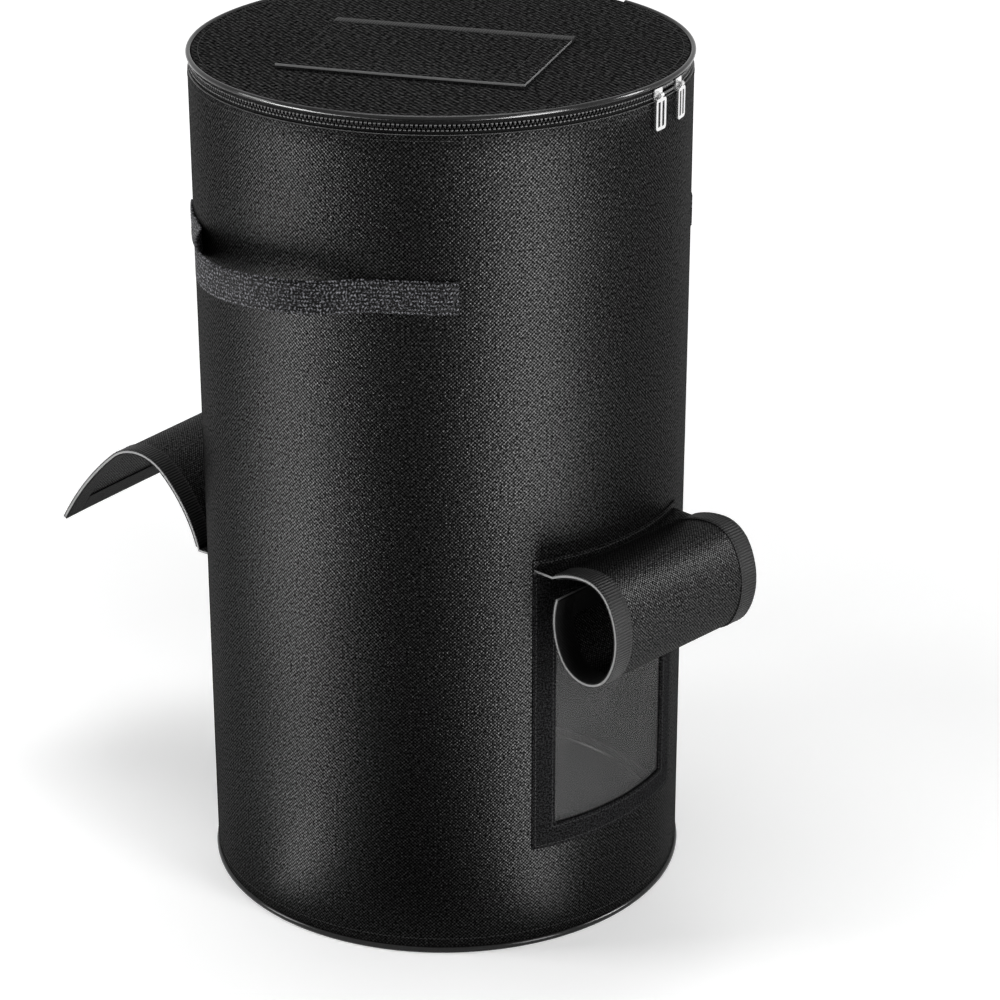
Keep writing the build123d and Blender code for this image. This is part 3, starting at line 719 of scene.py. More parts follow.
# %% Floor, its piping and its seam tape
FLOOR_BEAD = 3.1 * MM
FLOOR_BEAD_CENTRE = BAG_RADIUS - CLOTH / 2
FLOOR_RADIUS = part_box("floor_panel")[1].x
SEAM_TAPE = 1.2 * MM

floor_cloth = cloth(
    "floor_cloth", lambda u, v: out(u) * v + UP * (CLOTH / 2), steps(-180.0, 180.0, 4.0),
    steps(0.5 * MM, FLOOR_RADIUS, 18.0 * MM), CLOTH, [bag_cloth], wrap=True,
    flat=lambda u, v: (v * sin(radians(u)), v * cos(radians(u))),
)
fit(floor_cloth, "bin", "bag_fabric", "floor_panel")

floor_bead = bead("floor_bead", FLOOR_BEAD_CENTRE, FLOOR_BEAD, FLOOR_BEAD, -180.0, 180.0, coated_piping)
fit(floor_bead, "bin", "piping", "floor_piping")

low, high = (corner.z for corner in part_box("floor_seam_binding"))
floor_tape = wall_tape(
    "floor_seam_tape", wall_length(-180.0), wall_length(180.0), low, high, -CLOTH - SEAM_TAPE / 2, SEAM_TAPE,
    [binding_tape],
)
fit(floor_tape, "bin", "binding_tape", "floor_seam_binding")

low, high = (corner.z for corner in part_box("side_seam_tape"))
SEAM_HALF = 12.0 * MM
seam_tape = wall_tape(
    "side_seam_cover", wall_length(180.0) - SEAM_HALF, wall_length(180.0) + SEAM_HALF, low, high,
    -CLOTH - SEAM_TAPE / 2, SEAM_TAPE, [binding_tape], size=4.0 * MM, upright=True,
)
fit(seam_tape, "bin", "binding_tape", "side_seam_tape")

# %% [markdown]
# ## Lid
# The lid is a disc with a feed hole, and it folds along a straight line at the back, where it stays
# sewn to the wall. One sheet covers the lid and the sewn strip behind the fold. Rings that run from
# the square hole out to the round edge keep the grid even.

# %% Lid places
LID_BOTTOM, LID_TOP = (corner.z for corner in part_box("lid_panel"))
LID_RADIUS = 221.25 * MM
FOLD_AZIMUTH, FOLD_HALF = 162.0, 30.0
FOLD_DISTANCE = BAG_RADIUS * cos(radians(FOLD_HALF))
FEED_AZIMUTH = -18.0
FEED_WIDTH, FEED_LENGTH, FEED_FORWARD = 225.0 * MM, 145.0 * MM, 46.0 * MM
feed_back, feed_right = out(FOLD_AZIMUTH), along(FEED_AZIMUTH)


def feed_place(across, back, height):
    """A point over the lid, from the feed flap's middle."""
    return feed_right * across + feed_back * (back - FEED_FORWARD) + UP * height


def hole_reach(turn):
    """Distance from the feed hole's middle to its edge."""
    half_width, half_length = FEED_WIDTH / 2 - STRIP_WIDTH, FEED_LENGTH / 2 - STRIP_WIDTH
    across, back = abs(sin(radians(turn))), abs(cos(radians(turn)))
    return min(half_width / max(across, 1e-9), half_length / max(back, 1e-9))


def rim_reach(turn):
    """Distance from the feed hole's middle to the lid's round edge."""
    forward = FEED_FORWARD * cos(radians(turn))
    return forward + sqrt(forward**2 - FEED_FORWARD**2 + LID_RADIUS**2)


def lid_place(turn, share):
    """A point on the lid's middle layer, from the feed hole (0) to the round edge (1)."""
    reach = hole_reach(turn) + (rim_reach(turn) - hole_reach(turn)) * share
    return feed_place(reach * sin(radians(turn)), reach * cos(radians(turn)), (LID_BOTTOM + LID_TOP) / 2)


def lid_flat(turn, share):
    point = lid_place(turn, share)
    return point.dot(feed_right), point.dot(feed_back)


# %% Lid cloth
corner_turn = degrees(atan2(FEED_WIDTH / 2 - STRIP_WIDTH, FEED_LENGTH / 2 - STRIP_WIDTH))
corners = [-180.0 + corner_turn, -corner_turn, corner_turn, 180.0 - corner_turn]
lid_sheet = cloth(
    "lid_sheet", lid_place, steps(-180.0, 180.0, 3.0, *corners), steps(0.0, 1.0, 0.025), CLOTH, [lid_cloth],
    soft=0.5 * MM, wrap=True, flat=lid_flat,
)
FOLD_EASE = 15.0 * MM
out(FOLD_AZIMUTH) * (FOLD_DISTANCE + FOLD_EASE) + UP * LID_TOP
out(FOLD_AZIMUTH) * (FOLD_DISTANCE - FOLD_EASE) + UP * LID_TOP
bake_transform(lid_sheet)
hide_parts("lid_panel", "lid_hinge_panel")
print("lid faces", len(lid_sheet.data.polygons))

# %% Lid piping and the strip that carries it
LID_BEAD = 2.4 * MM
LID_BEAD_CENTRE = BAG_RADIUS - LID_BEAD / 2
LID_BEAD_HEIGHT = (LID_BOTTOM + LID_TOP) / 2
HINGE_HALF, ZIP_GAP_HALF = 27.8, 32.2
ZIP_START, ZIP_END = FOLD_AZIMUTH + ZIP_GAP_HALF - 360.0, FOLD_AZIMUTH - ZIP_GAP_HALF

lid_bead = bead("lid_bead", LID_BEAD_CENTRE, LID_BEAD_HEIGHT, LID_BEAD, ZIP_START, ZIP_END, coated_piping)
fit(lid_bead, "lid", "piping", "lid_piping")
hinge_bead = bead(
    "hinge_bead", LID_BEAD_CENTRE, LID_BEAD_HEIGHT, LID_BEAD, FOLD_AZIMUTH - HINGE_HALF,
    FOLD_AZIMUTH + HINGE_HALF, coated_piping,
)
fit(hinge_bead, "bin", "piping", "lid_hinge_piping")

low, high = (corner.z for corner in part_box("lid_hinge_gusset"))
ZIP_TAPE = 0.8 * MM
gusset = wall_tape(
    "lid_gusset", wall_length(FOLD_AZIMUTH - HINGE_HALF), wall_length(FOLD_AZIMUTH + HINGE_HALF), low, high,
    -CLOTH - ZIP_TAPE / 2, ZIP_TAPE, [bag_cloth], size=4.0 * MM,
)
fit(gusset, "bin", "bag_fabric", "lid_hinge_gusset")

# %% [markdown]
# ## Feed flap
# A square flap on the lid covers the feed hole. Loop tape on the lid and hook tape under the flap
# close it on three sides, and a header sews it down at the back. Its edges are cut and sealed, and the
# pale line round it is a painted highlight on them. The strips are flat, so they are straight grids on the
# lid.

# %% Feed flap
STRIP, TAPE_GAP, STRIP_SHORT = 1.2 * MM, 0.2 * MM, 2.0 * MM
FEED_HINGE_HEIGHT = LID_TOP + 2 * STRIP + TAPE_GAP + CLOTH / 2
FEED_HINGE_BACK = FEED_LENGTH / 2
FEED_EASE = 9.0 * MM


def flat_tape(name, across, back, height, thickness, finishes, soft=0.0, turned=False):
    """A strip of tape or cloth that lies level over the lid, between two widths and two depths."""
    return cloth(
        name, lambda u, v: feed_place(u, v, height), steps(*across, CLOTH_STEP), steps(*back, CLOTH_STEP),
        thickness, finishes, soft, flat=(lambda u, v: (v, u)) if turned else None,
    )


def feed_strips(name, height, tape):
    """Three strips of tape round the feed hole: both sides and the front."""
    half, front, back = FEED_WIDTH / 2, -FEED_LENGTH / 2, FEED_LENGTH / 2 - STRIP_SHORT
    inner = half - STRIP_WIDTH
    return sew(
        name,
        flat_tape("side", (-half, -inner), (front, back), height, STRIP, [tape]),
        flat_tape("side", (inner, half), (front, back), height, STRIP, [tape]),
        flat_tape("front", (-inner, inner), (front, front + STRIP_WIDTH), height, STRIP, [tape], turned=True),
    )


feed_loops = feed_strips("feed_loop_tape", LID_TOP + STRIP / 2, loop_pile)
fit(feed_loops, "lid", "loop_tape", "feed_loop_strips")
feed_hooks = feed_strips("feed_hook_tape", LID_TOP + 1.5 * STRIP + TAPE_GAP, hook_rows)
fit(feed_hooks, "feed_flap", "hook_tape", "feed_hook_strips")

HEADER_WIDTH = 14.0 * MM
FEED_ROOT = FEED_HINGE_BACK + 1.5 * MM
CORNER_LIFT = 0.5 * MM


def feed_flap_place(u, v):
    """The flap lies level on its hooks, with its free corners lifted a hair."""
    lifted = CORNER_LIFT * (2 * abs(u) / FEED_WIDTH) ** 3 * max(0.0, -2 * v / FEED_LENGTH) ** 2
    return feed_place(u, v, FEED_HINGE_HEIGHT + lifted)


# The flap's rim takes the pale finish, a painted highlight.
feed_flap = cloth(
    "feed_flap_cloth", feed_flap_place, steps(-FEED_WIDTH / 2, FEED_WIDTH / 2, CLOTH_STEP),
    steps(-FEED_LENGTH / 2, FEED_ROOT, CLOTH_STEP, FEED_HINGE_BACK - FEED_EASE, FEED_HINGE_BACK), CLOTH,
    [lid_cloth, feed_edge_highlight], soft=0.5 * MM,
)
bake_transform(feed_flap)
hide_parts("feed_flap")

header_low, header_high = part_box("feed_flap_header")[0].z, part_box("feed_flap_header")[1].z
feed_header = flat_tape(
    "feed_header_band", (-FEED_WIDTH / 2, FEED_WIDTH / 2),
    (FEED_ROOT, FEED_ROOT + HEADER_WIDTH), (header_low + header_high) / 2, header_high - header_low,
    [binding_tape], soft=1.2 * MM, turned=True,
)
fit(feed_header, "lid", "binding_tape", "feed_flap_header")

# %% [markdown]
# ## Zip tapes
# The zip runs round three quarters of the lid. Its lower tape is sewn inside the wall and its upper
# tape hangs from the lid's piping. Both are thin, so they are strips like the others, with their ribs
# upright, and they are dull enough for the teeth to stand out.

# %% Zip tapes
ZIP_STEP, ZIP_HALF = 3.0 * MM, 2.8 * MM
low, high = (corner.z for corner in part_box("zip_tape_lower"))
ZIP_MIDDLE = high + ZIP_HALF
lower_tape = wall_tape(
    "lower_zip_tape", wall_length(ZIP_START), wall_length(ZIP_END), low, high, -CLOTH - ZIP_TAPE / 2, ZIP_TAPE,
    [zip_tape], size=ZIP_STEP,
)
fit(lower_tape, "bin", "zip_tape", "zip_tape_lower")
low, high = (corner.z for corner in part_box("zip_tape_upper"))
upper_tape = wall_tape(
    "upper_zip_tape", wall_length(ZIP_START), wall_length(ZIP_END), low, high, -CLOTH - ZIP_TAPE / 2, ZIP_TAPE,
    [zip_tape], size=ZIP_STEP,
)
fit(upper_tape, "lid", "zip_tape", "zip_tape_upper")
print("zip middle", round(ZIP_MIDDLE, 4))

# %% [markdown]
# ## Zip teeth
# A coarse bag zip has moulded teeth that clamp the edge of each tape. A tooth is a small block that
# narrows to its nose, with every edge rounded. The rows mesh half a pitch apart, except between the
# two sliders, where each row stands back and leaves the parted mouth that the wedges make. The teeth's
# shoulders carry a painted highlight, so the finish goes by the height from the zip's middle.

# %% Tooth finish
SHOULDER_FROM, SHOULDER_TO = 1.6 * MM, 2.3 * MM
tooth_plastic = finish("zip tooth", Specular_IOR_Level=0.06)
tooth_spot = node(tooth_plastic, "TexCoord").outputs["Object"]
tooth_height = node(tooth_plastic, "SeparateXYZ", Vector=tooth_spot).outputs[2]
from_middle = sums(tooth_plastic, "ABSOLUTE", sums(tooth_plastic, "SUBTRACT", tooth_height, ZIP_MIDDLE))
shoulder = node(
    tooth_plastic, "MapRange", Value=from_middle, From_Min=SHOULDER_FROM, From_Max=SHOULDER_TO
).outputs[0]
moulding = speckle(tooth_plastic, tooth_spot, 1.0 * MM, 3.0)
# Painted highlight: the teeth's shoulders are painted pale, broken up by the moulding grain.
shoulder_highlight = sums(tooth_plastic, "MULTIPLY", shoulder, scaled(tooth_plastic, moulding, 0.4, 1.6))
tooth_colour = shades(tooth_plastic, shoulder_highlight, grey(0.002), grey(0.24))
dress(tooth_plastic, tooth_colour, scaled(tooth_plastic, moulding, 0.3, 0.42), moulding, 0.02 * MM)
print("tooth finish", tooth_plastic.name)

# %% Zip teeth
TOOTH_PITCH, TOOTH_RADIUS, STOP_LENGTH = 3.9 * MM, 222.2 * MM, 4.0 * MM
TOOTH_STEP = degrees(TOOTH_PITCH / TOOTH_RADIUS)
TOOTH_LENGTH, TOOTH_EDGE, TOOTH_SHARP = 3.4 * MM, 0.45 * MM, 50.0
TOOTH_NOSE, TOOTH_FOOT = (1.5 * MM, 2.4 * MM), (2.5 * MM, 3.0 * MM)
MESHED, PARTED_MORE = 1.1 * MM, 1.3 * MM
FIRST_TOOTH = ZIP_START + degrees(STOP_LENGTH / BAG_RADIUS) + TOOTH_STEP
TOOTH_COUNT = int((ZIP_END + ZIP_START - 2 * FIRST_TOOTH) / TOOTH_STEP)
MOUTH_MIDDLE, MOUTH_HALF, MOUTH_EASE = 60.0, 6.655, 1.655


def tooth_block():
    """One tooth with its nose upwards and its outer face towards -Y."""
    block = bmesh.new()
    bmesh.ops.create_cube(block, size=1.0)
    for vert in block.verts:
        width, depth = TOOTH_NOSE if vert.co.z > 0 else TOOTH_FOOT
        vert.co = Vector((vert.co.x * width, vert.co.y * depth, vert.co.z * TOOTH_LENGTH))
    bmesh.ops.bevel(block, geom=block.edges, offset=TOOTH_EDGE, segments=2, profile=0.5, affect="EDGES")
    return block


def small_piece(name, points, faces, material):
    """A smooth piece made straight from points and faces."""
    mesh = bpy.data.meshes.new(name)
    mesh.from_pydata(points, [], faces)
    mesh.materials.append(material)
    mesh.shade_smooth()
    return add(name, mesh)


def tooth_row(name, side):
    """A row of teeth, below the zip's middle (-1) or above it (+1)."""
    block = tooth_block()
    pattern = [vert.co.copy() for vert in block.verts]
    faces = [[vert.index for vert in face.verts] for face in block.faces]
    block.free()
    points, shapes = [], []
    for number in range(TOOTH_COUNT):
        azimuth = FIRST_TOOTH + (number + (0.5 if side > 0 else 0.0)) * TOOTH_STEP
        into = (MOUTH_HALF - abs(azimuth - MOUTH_MIDDLE)) / MOUTH_EASE
        height = ZIP_MIDDLE + side * (MESHED + PARTED_MORE * min(max(into, 0.0), 1.0))
        place = Matrix.Rotation(radians(azimuth), 4, "Z") @ Matrix.Translation((0.0, -TOOTH_RADIUS, height))
        if side > 0:
            place = place @ Matrix.Rotation(pi, 4, "Y")
        shapes += [[len(points) + corner for corner in face] for face in faces]
        points += [place @ co for co in pattern]
    made = small_piece(name, points, shapes, tooth_plastic)
    made.data.set_sharp_from_angle(angle=radians(TOOTH_SHARP))
    return made


fit(tooth_row("lower_teeth", -1), "bin", "zip_teeth", "zip_teeth_lower")
fit(tooth_row("upper_teeth", 1), "lid", "zip_teeth", "zip_teeth_upper")

# %% [markdown]
# ## Sliders and pulls
# The sliders, their bails and the three-rail pull tabs are cast zinc with a bright plating. Their
# solids already have the right shape, so they only take the finish, and a small bevel, since a cast
# edge is never sharp and the bevel is what glints.

# %% Sliders and pulls
CAST_EDGE, CAST_ANGLE = 0.3 * MM, 35.0
metal_parts = ["zip_end_stops"] + [
    side + part for side in ("left_", "right_") for part in ("slider", "slider_bail", "pull_tab")
]
for name in metal_parts:
    part = bpy.data.objects[name]
    part.data.materials.clear()
    part.data.materials.append(plated_zinc)
    edge = part.modifiers.new("cast edge", "BEVEL")
    edge.width = CAST_EDGE
    edge.segments = 2
    edge.angle_limit = radians(CAST_ANGLE)
print("metal parts", len(metal_parts))

# %% [markdown]
# ## Door frames
# A frame of loop tape is sewn on the wall round each opening: a sill across the whole width, two
# sides that stand on it and a head. A header band above it sews the flap to the wall.

# %% Loop frames and headers
DOOR_WIDTH = 2 * BAG_RADIUS * sin(radians(DOOR_HALF_ANGLE))
HEADER, HEADER_RISE = 1.6 * MM, 9.0 * MM
SOFT_TAPE = 0.35 * MM


def tape_frame(name, strips, *tape):
    """Strips of one tape, sewn into a frame. Each strip says where it lies and whether it is upright."""
    return sew(name, *[wall_tape(*place, *tape, upright=upright) for *place, upright in strips])


def loop_frame(name, door):
    """Four strips of loop tape round a door's opening."""
    left, right = door["left"] - STRIP_WIDTH, door["right"] + STRIP_WIDTH
    strips = (
        ("sill", left, right, door["sill"], door["low"], False),
        ("side", left, door["left"], door["low"], door["head"], True),
        ("side", door["right"], right, door["low"], door["head"], True),
        ("head", door["left"], door["right"], door["high"], door["head"], False),
    )
    return tape_frame(name, strips, STRIP / 2, STRIP, [loop_pile], SOFT_TAPE)


for name, door in doors.items():
    fit(loop_frame(name + "_loop_frame", door), "bin", "loop_tape", name + "_loop_strips")
    band = wall_tape(
        name + "_header_band", door["middle"] - door["half"], door["middle"] + door["half"], door["head"],
        door["hinge"] + HEADER_RISE, HEADER / 2, HEADER, [bag_cloth], SOFT_TAPE,
    )
    fit(band, "bin", "bag_fabric", name + "_flap_header")

# %% [markdown]
# ## Window
# The window is a sheet of clear film sewn behind the opening. Film reflects a little and hides almost
# nothing, so it is nearly transparent, with a faint waviness. A tape inside holds its edges.

# %% Window film and its binding
FILM, FILM_OVERLAP = 0.8 * MM, 12.0 * MM
front = doors["front"]
film_left, film_right = front["left"] - FILM_OVERLAP, front["right"] + FILM_OVERLAP
film_low, film_high = front["low"] - FILM_OVERLAP, front["high"] + FILM_OVERLAP
window_film = wall_tape(
    "window_film", film_left, film_right, film_low, film_high, -CLOTH - FILM / 2, FILM, [clear_film],
    upright=True,
)
fit(window_film, "bin", "clear_film", "window_pane")

hem_strips = (
    ("side", film_left, front["left"], film_low, film_high, True),
    ("side", front["right"], film_right, film_low, film_high, True),
    ("sill", front["left"], front["right"], film_low, front["low"], False),
    ("head", front["left"], front["right"], front["high"], film_high, False),
)
window_hem = tape_frame(
    "window_hem", hem_strips, -CLOTH - FILM - SEAM_TAPE / 2, SEAM_TAPE, [binding_tape]
)
fit(window_hem, "bin", "binding_tape", "window_binding")

# %% [markdown]
# ## The line of a flap
# Each flap is a straight-edged sheet bent one way, so a single line seen from the side describes it.
# The line is a run of arcs that leaves the hinge at an angle and keeps turning the same way. The front
# flap climbs and rolls round an upright oval. The rear flap climbs, turns over a crest and droops.

# %% Flap lines
HINGE_OUT = 3.4 * MM
ROLL_RISE, ROLL_END, ROLL_SIDE = 10.0 * MM, 32.0 * MM, 68.0 * MM
SIDE_TURN, END_TURN, LAST_TURN = 60.0, 120.0, 48.0
ROLL_CLEAR = 1.8 * MM
ROLL_REACH = ROLL_SIDE - (ROLL_SIDE - ROLL_END) * cos(radians(SIDE_TURN / 2)) + ROLL_CLEAR
ROLL_LEAD = (ROLL_REACH**2 + ROLL_RISE**2) / (2 * ROLL_RISE)
ROLL_CLIMB = degrees(asin(ROLL_REACH / ROLL_LEAD))
front["climb"] = ROLL_CLIMB
front["arcs"] = [
    (ROLL_LEAD, ROLL_CLIMB), (ROLL_END, END_TURN / 2), (ROLL_SIDE, SIDE_TURN), (ROLL_END, END_TURN),
    (ROLL_SIDE, LAST_TURN),
]
rear = doors["rear"]
rear["climb"] = 75.0
rear["arcs"] = [(150.0 * MM, 32.0), (49.0 * MM, 83.0), (310.0 * MM, 20.0)]
FLAP_SWAY, SWAY_TURN = 0.9 * MM, 5.0


def flap_length(door):
    return sum(radius * radians(turn) for radius, turn in door["arcs"])


def line_at(door, length):
    """How far out and up the flap's line is after a length, and the way it heads there."""
    spot, heading = Vector((HINGE_OUT, 0.0)), door["climb"]
    for radius, turn in door["arcs"]:
        run = min(max(length, 0.0), radius * radians(turn))
        centre = spot + radius * Vector((sin(radians(heading)), -cos(radians(heading))))
        heading -= degrees(run / radius)
        spot = centre + radius * Vector((-sin(radians(heading)), cos(radians(heading))))
        length -= run
        if length <= 0.0:
            break
    return spot, heading


def flap_spot(door, across, length, lift=0.0):
    """A point on a flap, lifted off its middle layer towards the outside of the bend."""
    (reach, rise), heading = line_at(door, length)
    ends = (2 * across / DOOR_WIDTH) ** 4 * min(length / flap_length(door), 1.0)
    sway = FLAP_SWAY * ends * sin(SWAY_TURN * length / flap_length(door) + across / DOOR_WIDTH)
    lift = lift + sway
    reach, rise = reach - lift * sin(radians(heading)), rise + lift * cos(radians(heading))
    return (
        out(door["azimuth"]) * (BAG_RADIUS + reach) + along(door["azimuth"]) * across
        + UP * (door["hinge"] + rise)
    )


print("flap lengths", {name: round(flap_length(door), 4) for name, door in doors.items()})

# %% [markdown]
# ## Flap cloth
# The wall is round and a hinge has to be straight, so a shelf of the same sheet runs from the wall out
# to the hinge line, nothing in the middle and wide at the ends. Its sealed cut edge is pale, partly its
# own colour and partly a painted highlight, which draws the loop of the roll.

# %% Flap cloth
def flap_place(door, across, length):
    """The flap beyond its hinge, or for lengths below nothing the shelf between wall and hinge."""
    if length >= 0.0:
        return flap_spot(door, across, length)
    root = on_wall(door["azimuth"] + degrees(asin(across / BAG_RADIUS)), door["hinge"])
    return flap_spot(door, across, 0.0).lerp(root, min(-length / SHELF, 1.0))


SHELF = 10.0 * MM
FLAP_STEP = 6.0 * MM
bends = {
    "front": (4.0 * MM, 0.0, (1.0, -0.6), 8.8 * MM),
    "rear": (3.4 * MM, 0.0, (0.6, 0.8), 24.0 * MM),
}


def bend_ends(name):
    """Where the bend of a flap starts and ends: how far out and up, which way, and for what length."""
    door = doors[name]
    reach, rise, (ahead, above), run = bends[name]
    way = out(door["azimuth"]) * ahead + UP * above
    start = out(door["azimuth"]) * (BAG_RADIUS + reach) + UP * (door["hinge"] + rise)
    return start, start + way * run


def bend_with(piece, name, node_name):
    """Bakes a piece of a flap in place and hides the solids it stands for. The bend's ends are found but not
    used.
    """
    start, end = bend_ends(name)
    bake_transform(piece)
    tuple(start)
    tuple(end)
    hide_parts(node_name)
    print(piece.name, len(piece.data.polygons), "faces between bin and", name + "_flap")


# Each flap's rim takes the pale edge finish, partly its own colour and partly a painted highlight.
for name, door in doors.items():
    length = flap_length(door)
    sheet = cloth(
        name + "_flap_cloth", lambda u, v: flap_place(door, u, v),
        steps(-DOOR_WIDTH / 2, DOOR_WIDTH / 2, CLOTH_STEP), steps(-SHELF, length, FLAP_STEP, 0.0), CLOTH,
        [flap_cloth, sealed_edge_and_highlight], soft=0.5 * MM,
    )
    bend_with(sheet, name, name + "_flap")

# %% [markdown]
# ## Flap tapes
# Grosgrain binding runs along both sides and the free end of each flap on its outer face, and hook
# tape along the same edges inside, to close on the loop frame. They follow the same line as the sheet,
# lifted off it by half its thickness and half their own.

# %% Flap tapes
BINDING, BINDING_WIDTH, TRIM_START = 0.9 * MM, 20.0 * MM, 4.0 * MM
NARROW_STEP = 5.0 * MM


def flap_strip(name, door, across, along_flap, lift, thickness, tape, turned=False):
    """A strip on a flap, between two widths and two lengths."""
    return cloth(
        name, lambda u, v: flap_spot(door, u, v, lift), steps(*across, NARROW_STEP),
        steps(*along_flap, FLAP_STEP), thickness, [tape], SOFT_TAPE,
        flat=(lambda u, v: (v, u)) if turned else None,
    )


def flap_trim(name, door, width, lift, thickness, tape):
    """Strips along both sides of a flap and across its free end."""
    edge, inner, length = DOOR_WIDTH / 2, DOOR_WIDTH / 2 - width, flap_length(door)
    return sew(
        name,
        flap_strip("side", door, (-edge, -inner), (TRIM_START, length), lift, thickness, tape),
        flap_strip("side", door, (inner, edge), (TRIM_START, length), lift, thickness, tape),
        flap_strip("end", door, (-inner, inner), (length - width, length), lift, thickness, tape, turned=True),
    )


for name, door in doors.items():
    binding = flap_trim(name + "_binding", door, BINDING_WIDTH, (CLOTH + BINDING) / 2, BINDING, binding_tape)
    bend_with(binding, name, name + "_flap_binding")
    hooks = flap_trim(name + "_hook_tape", door, STRIP_WIDTH, -(CLOTH + STRIP) / 2, STRIP, hook_rows)
    bend_with(hooks, name, name + "_hook_strips")

# %% [markdown]
# ## Handles
# Each handle is a length of webbing, sewn flat to the wall at both ends and standing off it between
# them. Webbing keeps its width and bends one way, so its line seen from above is enough: it leaves the
# wall on an easing arc and crosses on a wide bow.

# %% Handle line
STRAP, STRAP_WIDTH, STRAP_HEIGHT = 2.2 * MM, 30.0 * MM, 644.0 * MM
STRAP_HALF, STRAP_SEWN = 29.5, 17.0
STRAP_SEAT = BAG_RADIUS + STRAP / 2
STRAP_CREST, STRAP_EASE = STRAP_SEAT + 38.0 * MM, 60.0 * MM
STRAP_SLACK, SLACK_TURN = 1.0 * MM, 9.0
ease_reach = STRAP_SEAT + STRAP_EASE
bow_span = STRAP_EASE + STRAP_CREST
bow_centre = (ease_reach**2 - bow_span**2) / (2 * (ease_reach * cos(radians(STRAP_HALF)) - bow_span))
bow_radius = STRAP_CREST - bow_centre
bow_half = degrees(
    atan2(ease_reach * sin(radians(STRAP_HALF)), ease_reach * cos(radians(STRAP_HALF)) - bow_centre)
)
BOW_RUN = bow_radius * radians(bow_half)
EASE_RUN = STRAP_EASE * radians(bow_half - STRAP_HALF)
SEWN_RUN = STRAP_SEAT * radians(STRAP_SEWN)
STRAP_RUN = BOW_RUN + EASE_RUN + SEWN_RUN


def strap_line(length):
    """Along and out of the strap's line at a length from its middle, and the way its face looks there."""
    side, run = (1.0 if length >= 0 else -1.0), abs(length)
    if run <= BOW_RUN:
        turn = degrees(run / bow_radius)
        centre, radius = (0.0, bow_centre), bow_radius
    elif run <= BOW_RUN + EASE_RUN:
        turn = bow_half - degrees((run - BOW_RUN) / STRAP_EASE)
        ease = radians(STRAP_HALF)
        centre, radius = (ease_reach * sin(ease), ease_reach * cos(ease)), -STRAP_EASE
    else:
        turn = STRAP_HALF + degrees((run - BOW_RUN - EASE_RUN) / STRAP_SEAT)
        centre, radius = (0.0, 0.0), STRAP_SEAT
    across, reach = centre[0] + radius * sin(radians(turn)), centre[1] + radius * cos(radians(turn))
    return side * across, reach, side * turn


def strap_spot(azimuth, length, up, lift=0.0):
    """A point on a handle, lifted off its middle layer towards the outside."""
    across, reach, turn = strap_line(length)
    face = out(azimuth + turn)
    held = min(abs(length) / (BOW_RUN + EASE_RUN), 1.0)
    slack = STRAP_SLACK * (1.0 - held) * sin(SLACK_TURN * length / STRAP_RUN)
    return out(azimuth) * reach + along(azimuth) * across + face * lift + UP * (STRAP_HEIGHT + up + slack)


# %% Handles
handles = {"left": -43.0, "right": 137.0}
for name, azimuth in handles.items():
    strap = cloth(
        name + "_strap", lambda u, v: strap_spot(azimuth, u, v), steps(-STRAP_RUN, STRAP_RUN, NARROW_STEP),
        steps(-STRAP_WIDTH / 2, STRAP_WIDTH / 2, NARROW_STEP), STRAP, [webbing], soft=0.7 * MM,
    )
    fit(strap, "bin", "webbing", name + "_handle")
print("strap length", round(2 * STRAP_RUN, 4), "free", round(2 * (BOW_RUN + EASE_RUN), 4))

# %% [markdown]
# ## Stitching
# Every tape and hem is held by lockstitch, a row of short dashes that sink at both ends. A texture of
# dashes would stay flat in close view, so each stitch is a small spindle of thread that lies on the
# surface. One function sews along a straight line on any flat cut, so stitches bend with their cloth.

# %% Stitch helper
STITCH_PITCH, STITCH_LENGTH = 4.2 * MM, 3.0 * MM
THREAD_HALF, THREAD_RISE = 0.42 * MM, 0.28 * MM
THREAD_SEAT = 0.05 * MM
SPINDLE = ((-0.5, 0.2), (-0.28, 1.0), (0.28, 1.0), (0.5, 0.2))
SPINDLE_SIDES = 6
spindle_faces = []
for ring in range(len(SPINDLE) - 1):
    for corner in range(SPINDLE_SIDES):
        first, after = ring * SPINDLE_SIDES, (corner + 1) % SPINDLE_SIDES
        last = first + SPINDLE_SIDES
        spindle_faces.append((first + corner, first + after, last + after, last + corner))


def spindle(middle, ahead, face):
    """The points of one stitch: rings round a thread that is thin at both ends."""
    side = face.cross(ahead)
    turns = [2 * pi * corner / SPINDLE_SIDES for corner in range(SPINDLE_SIDES)]
    return [
        middle + ahead * (place * STITCH_LENGTH) + side * (THREAD_HALF * girth * cos(turn))
        + face * (THREAD_RISE * girth * sin(turn))
        for place, girth in SPINDLE for turn in turns
    ]


def stitches(name, *seams):
    """Rows of stitches. A seam is a surface, a lift off it and lines between points of its flat cut."""
    points, faces = [], []
    for surface, lift, lines in seams:
        for start, end in lines:
            run = sqrt((end[0] - start[0]) ** 2 + (end[1] - start[1]) ** 2)
            count = max(1, round(run / STITCH_PITCH))
            for number in range(count):
                share, half = (number + 0.5) / count, STITCH_LENGTH / 2 / run
                cut = [[a + (b - a) * (share + way) for a, b in zip(start, end)] for way in (-half, 0.0, half)]
                tail, middle, head = (surface(*spot, lift) for spot in cut)
                above = surface(*cut[1], lift + 1.0 * MM)
                faces += [[len(points) + corner for corner in ring] for ring in spindle_faces]
                points += spindle(middle, (head - tail).normalized(), (above - middle).normalized())
    made = small_piece(name, points, faces, sewing_thread)
    return made


def box_lines(left, right, low, high):
    """The four sides of a rectangle on a flat cut."""
    corners = [(left, low), (right, low), (right, high), (left, high)]
    return list(zip(corners, corners[1:] + corners[:1]))


# %% [markdown]
# The bag's own seams come first: the hem under the zip, the seam over the floor, both edges of each
# loop strip, the headers, and a box with a cross at each end of the handles.

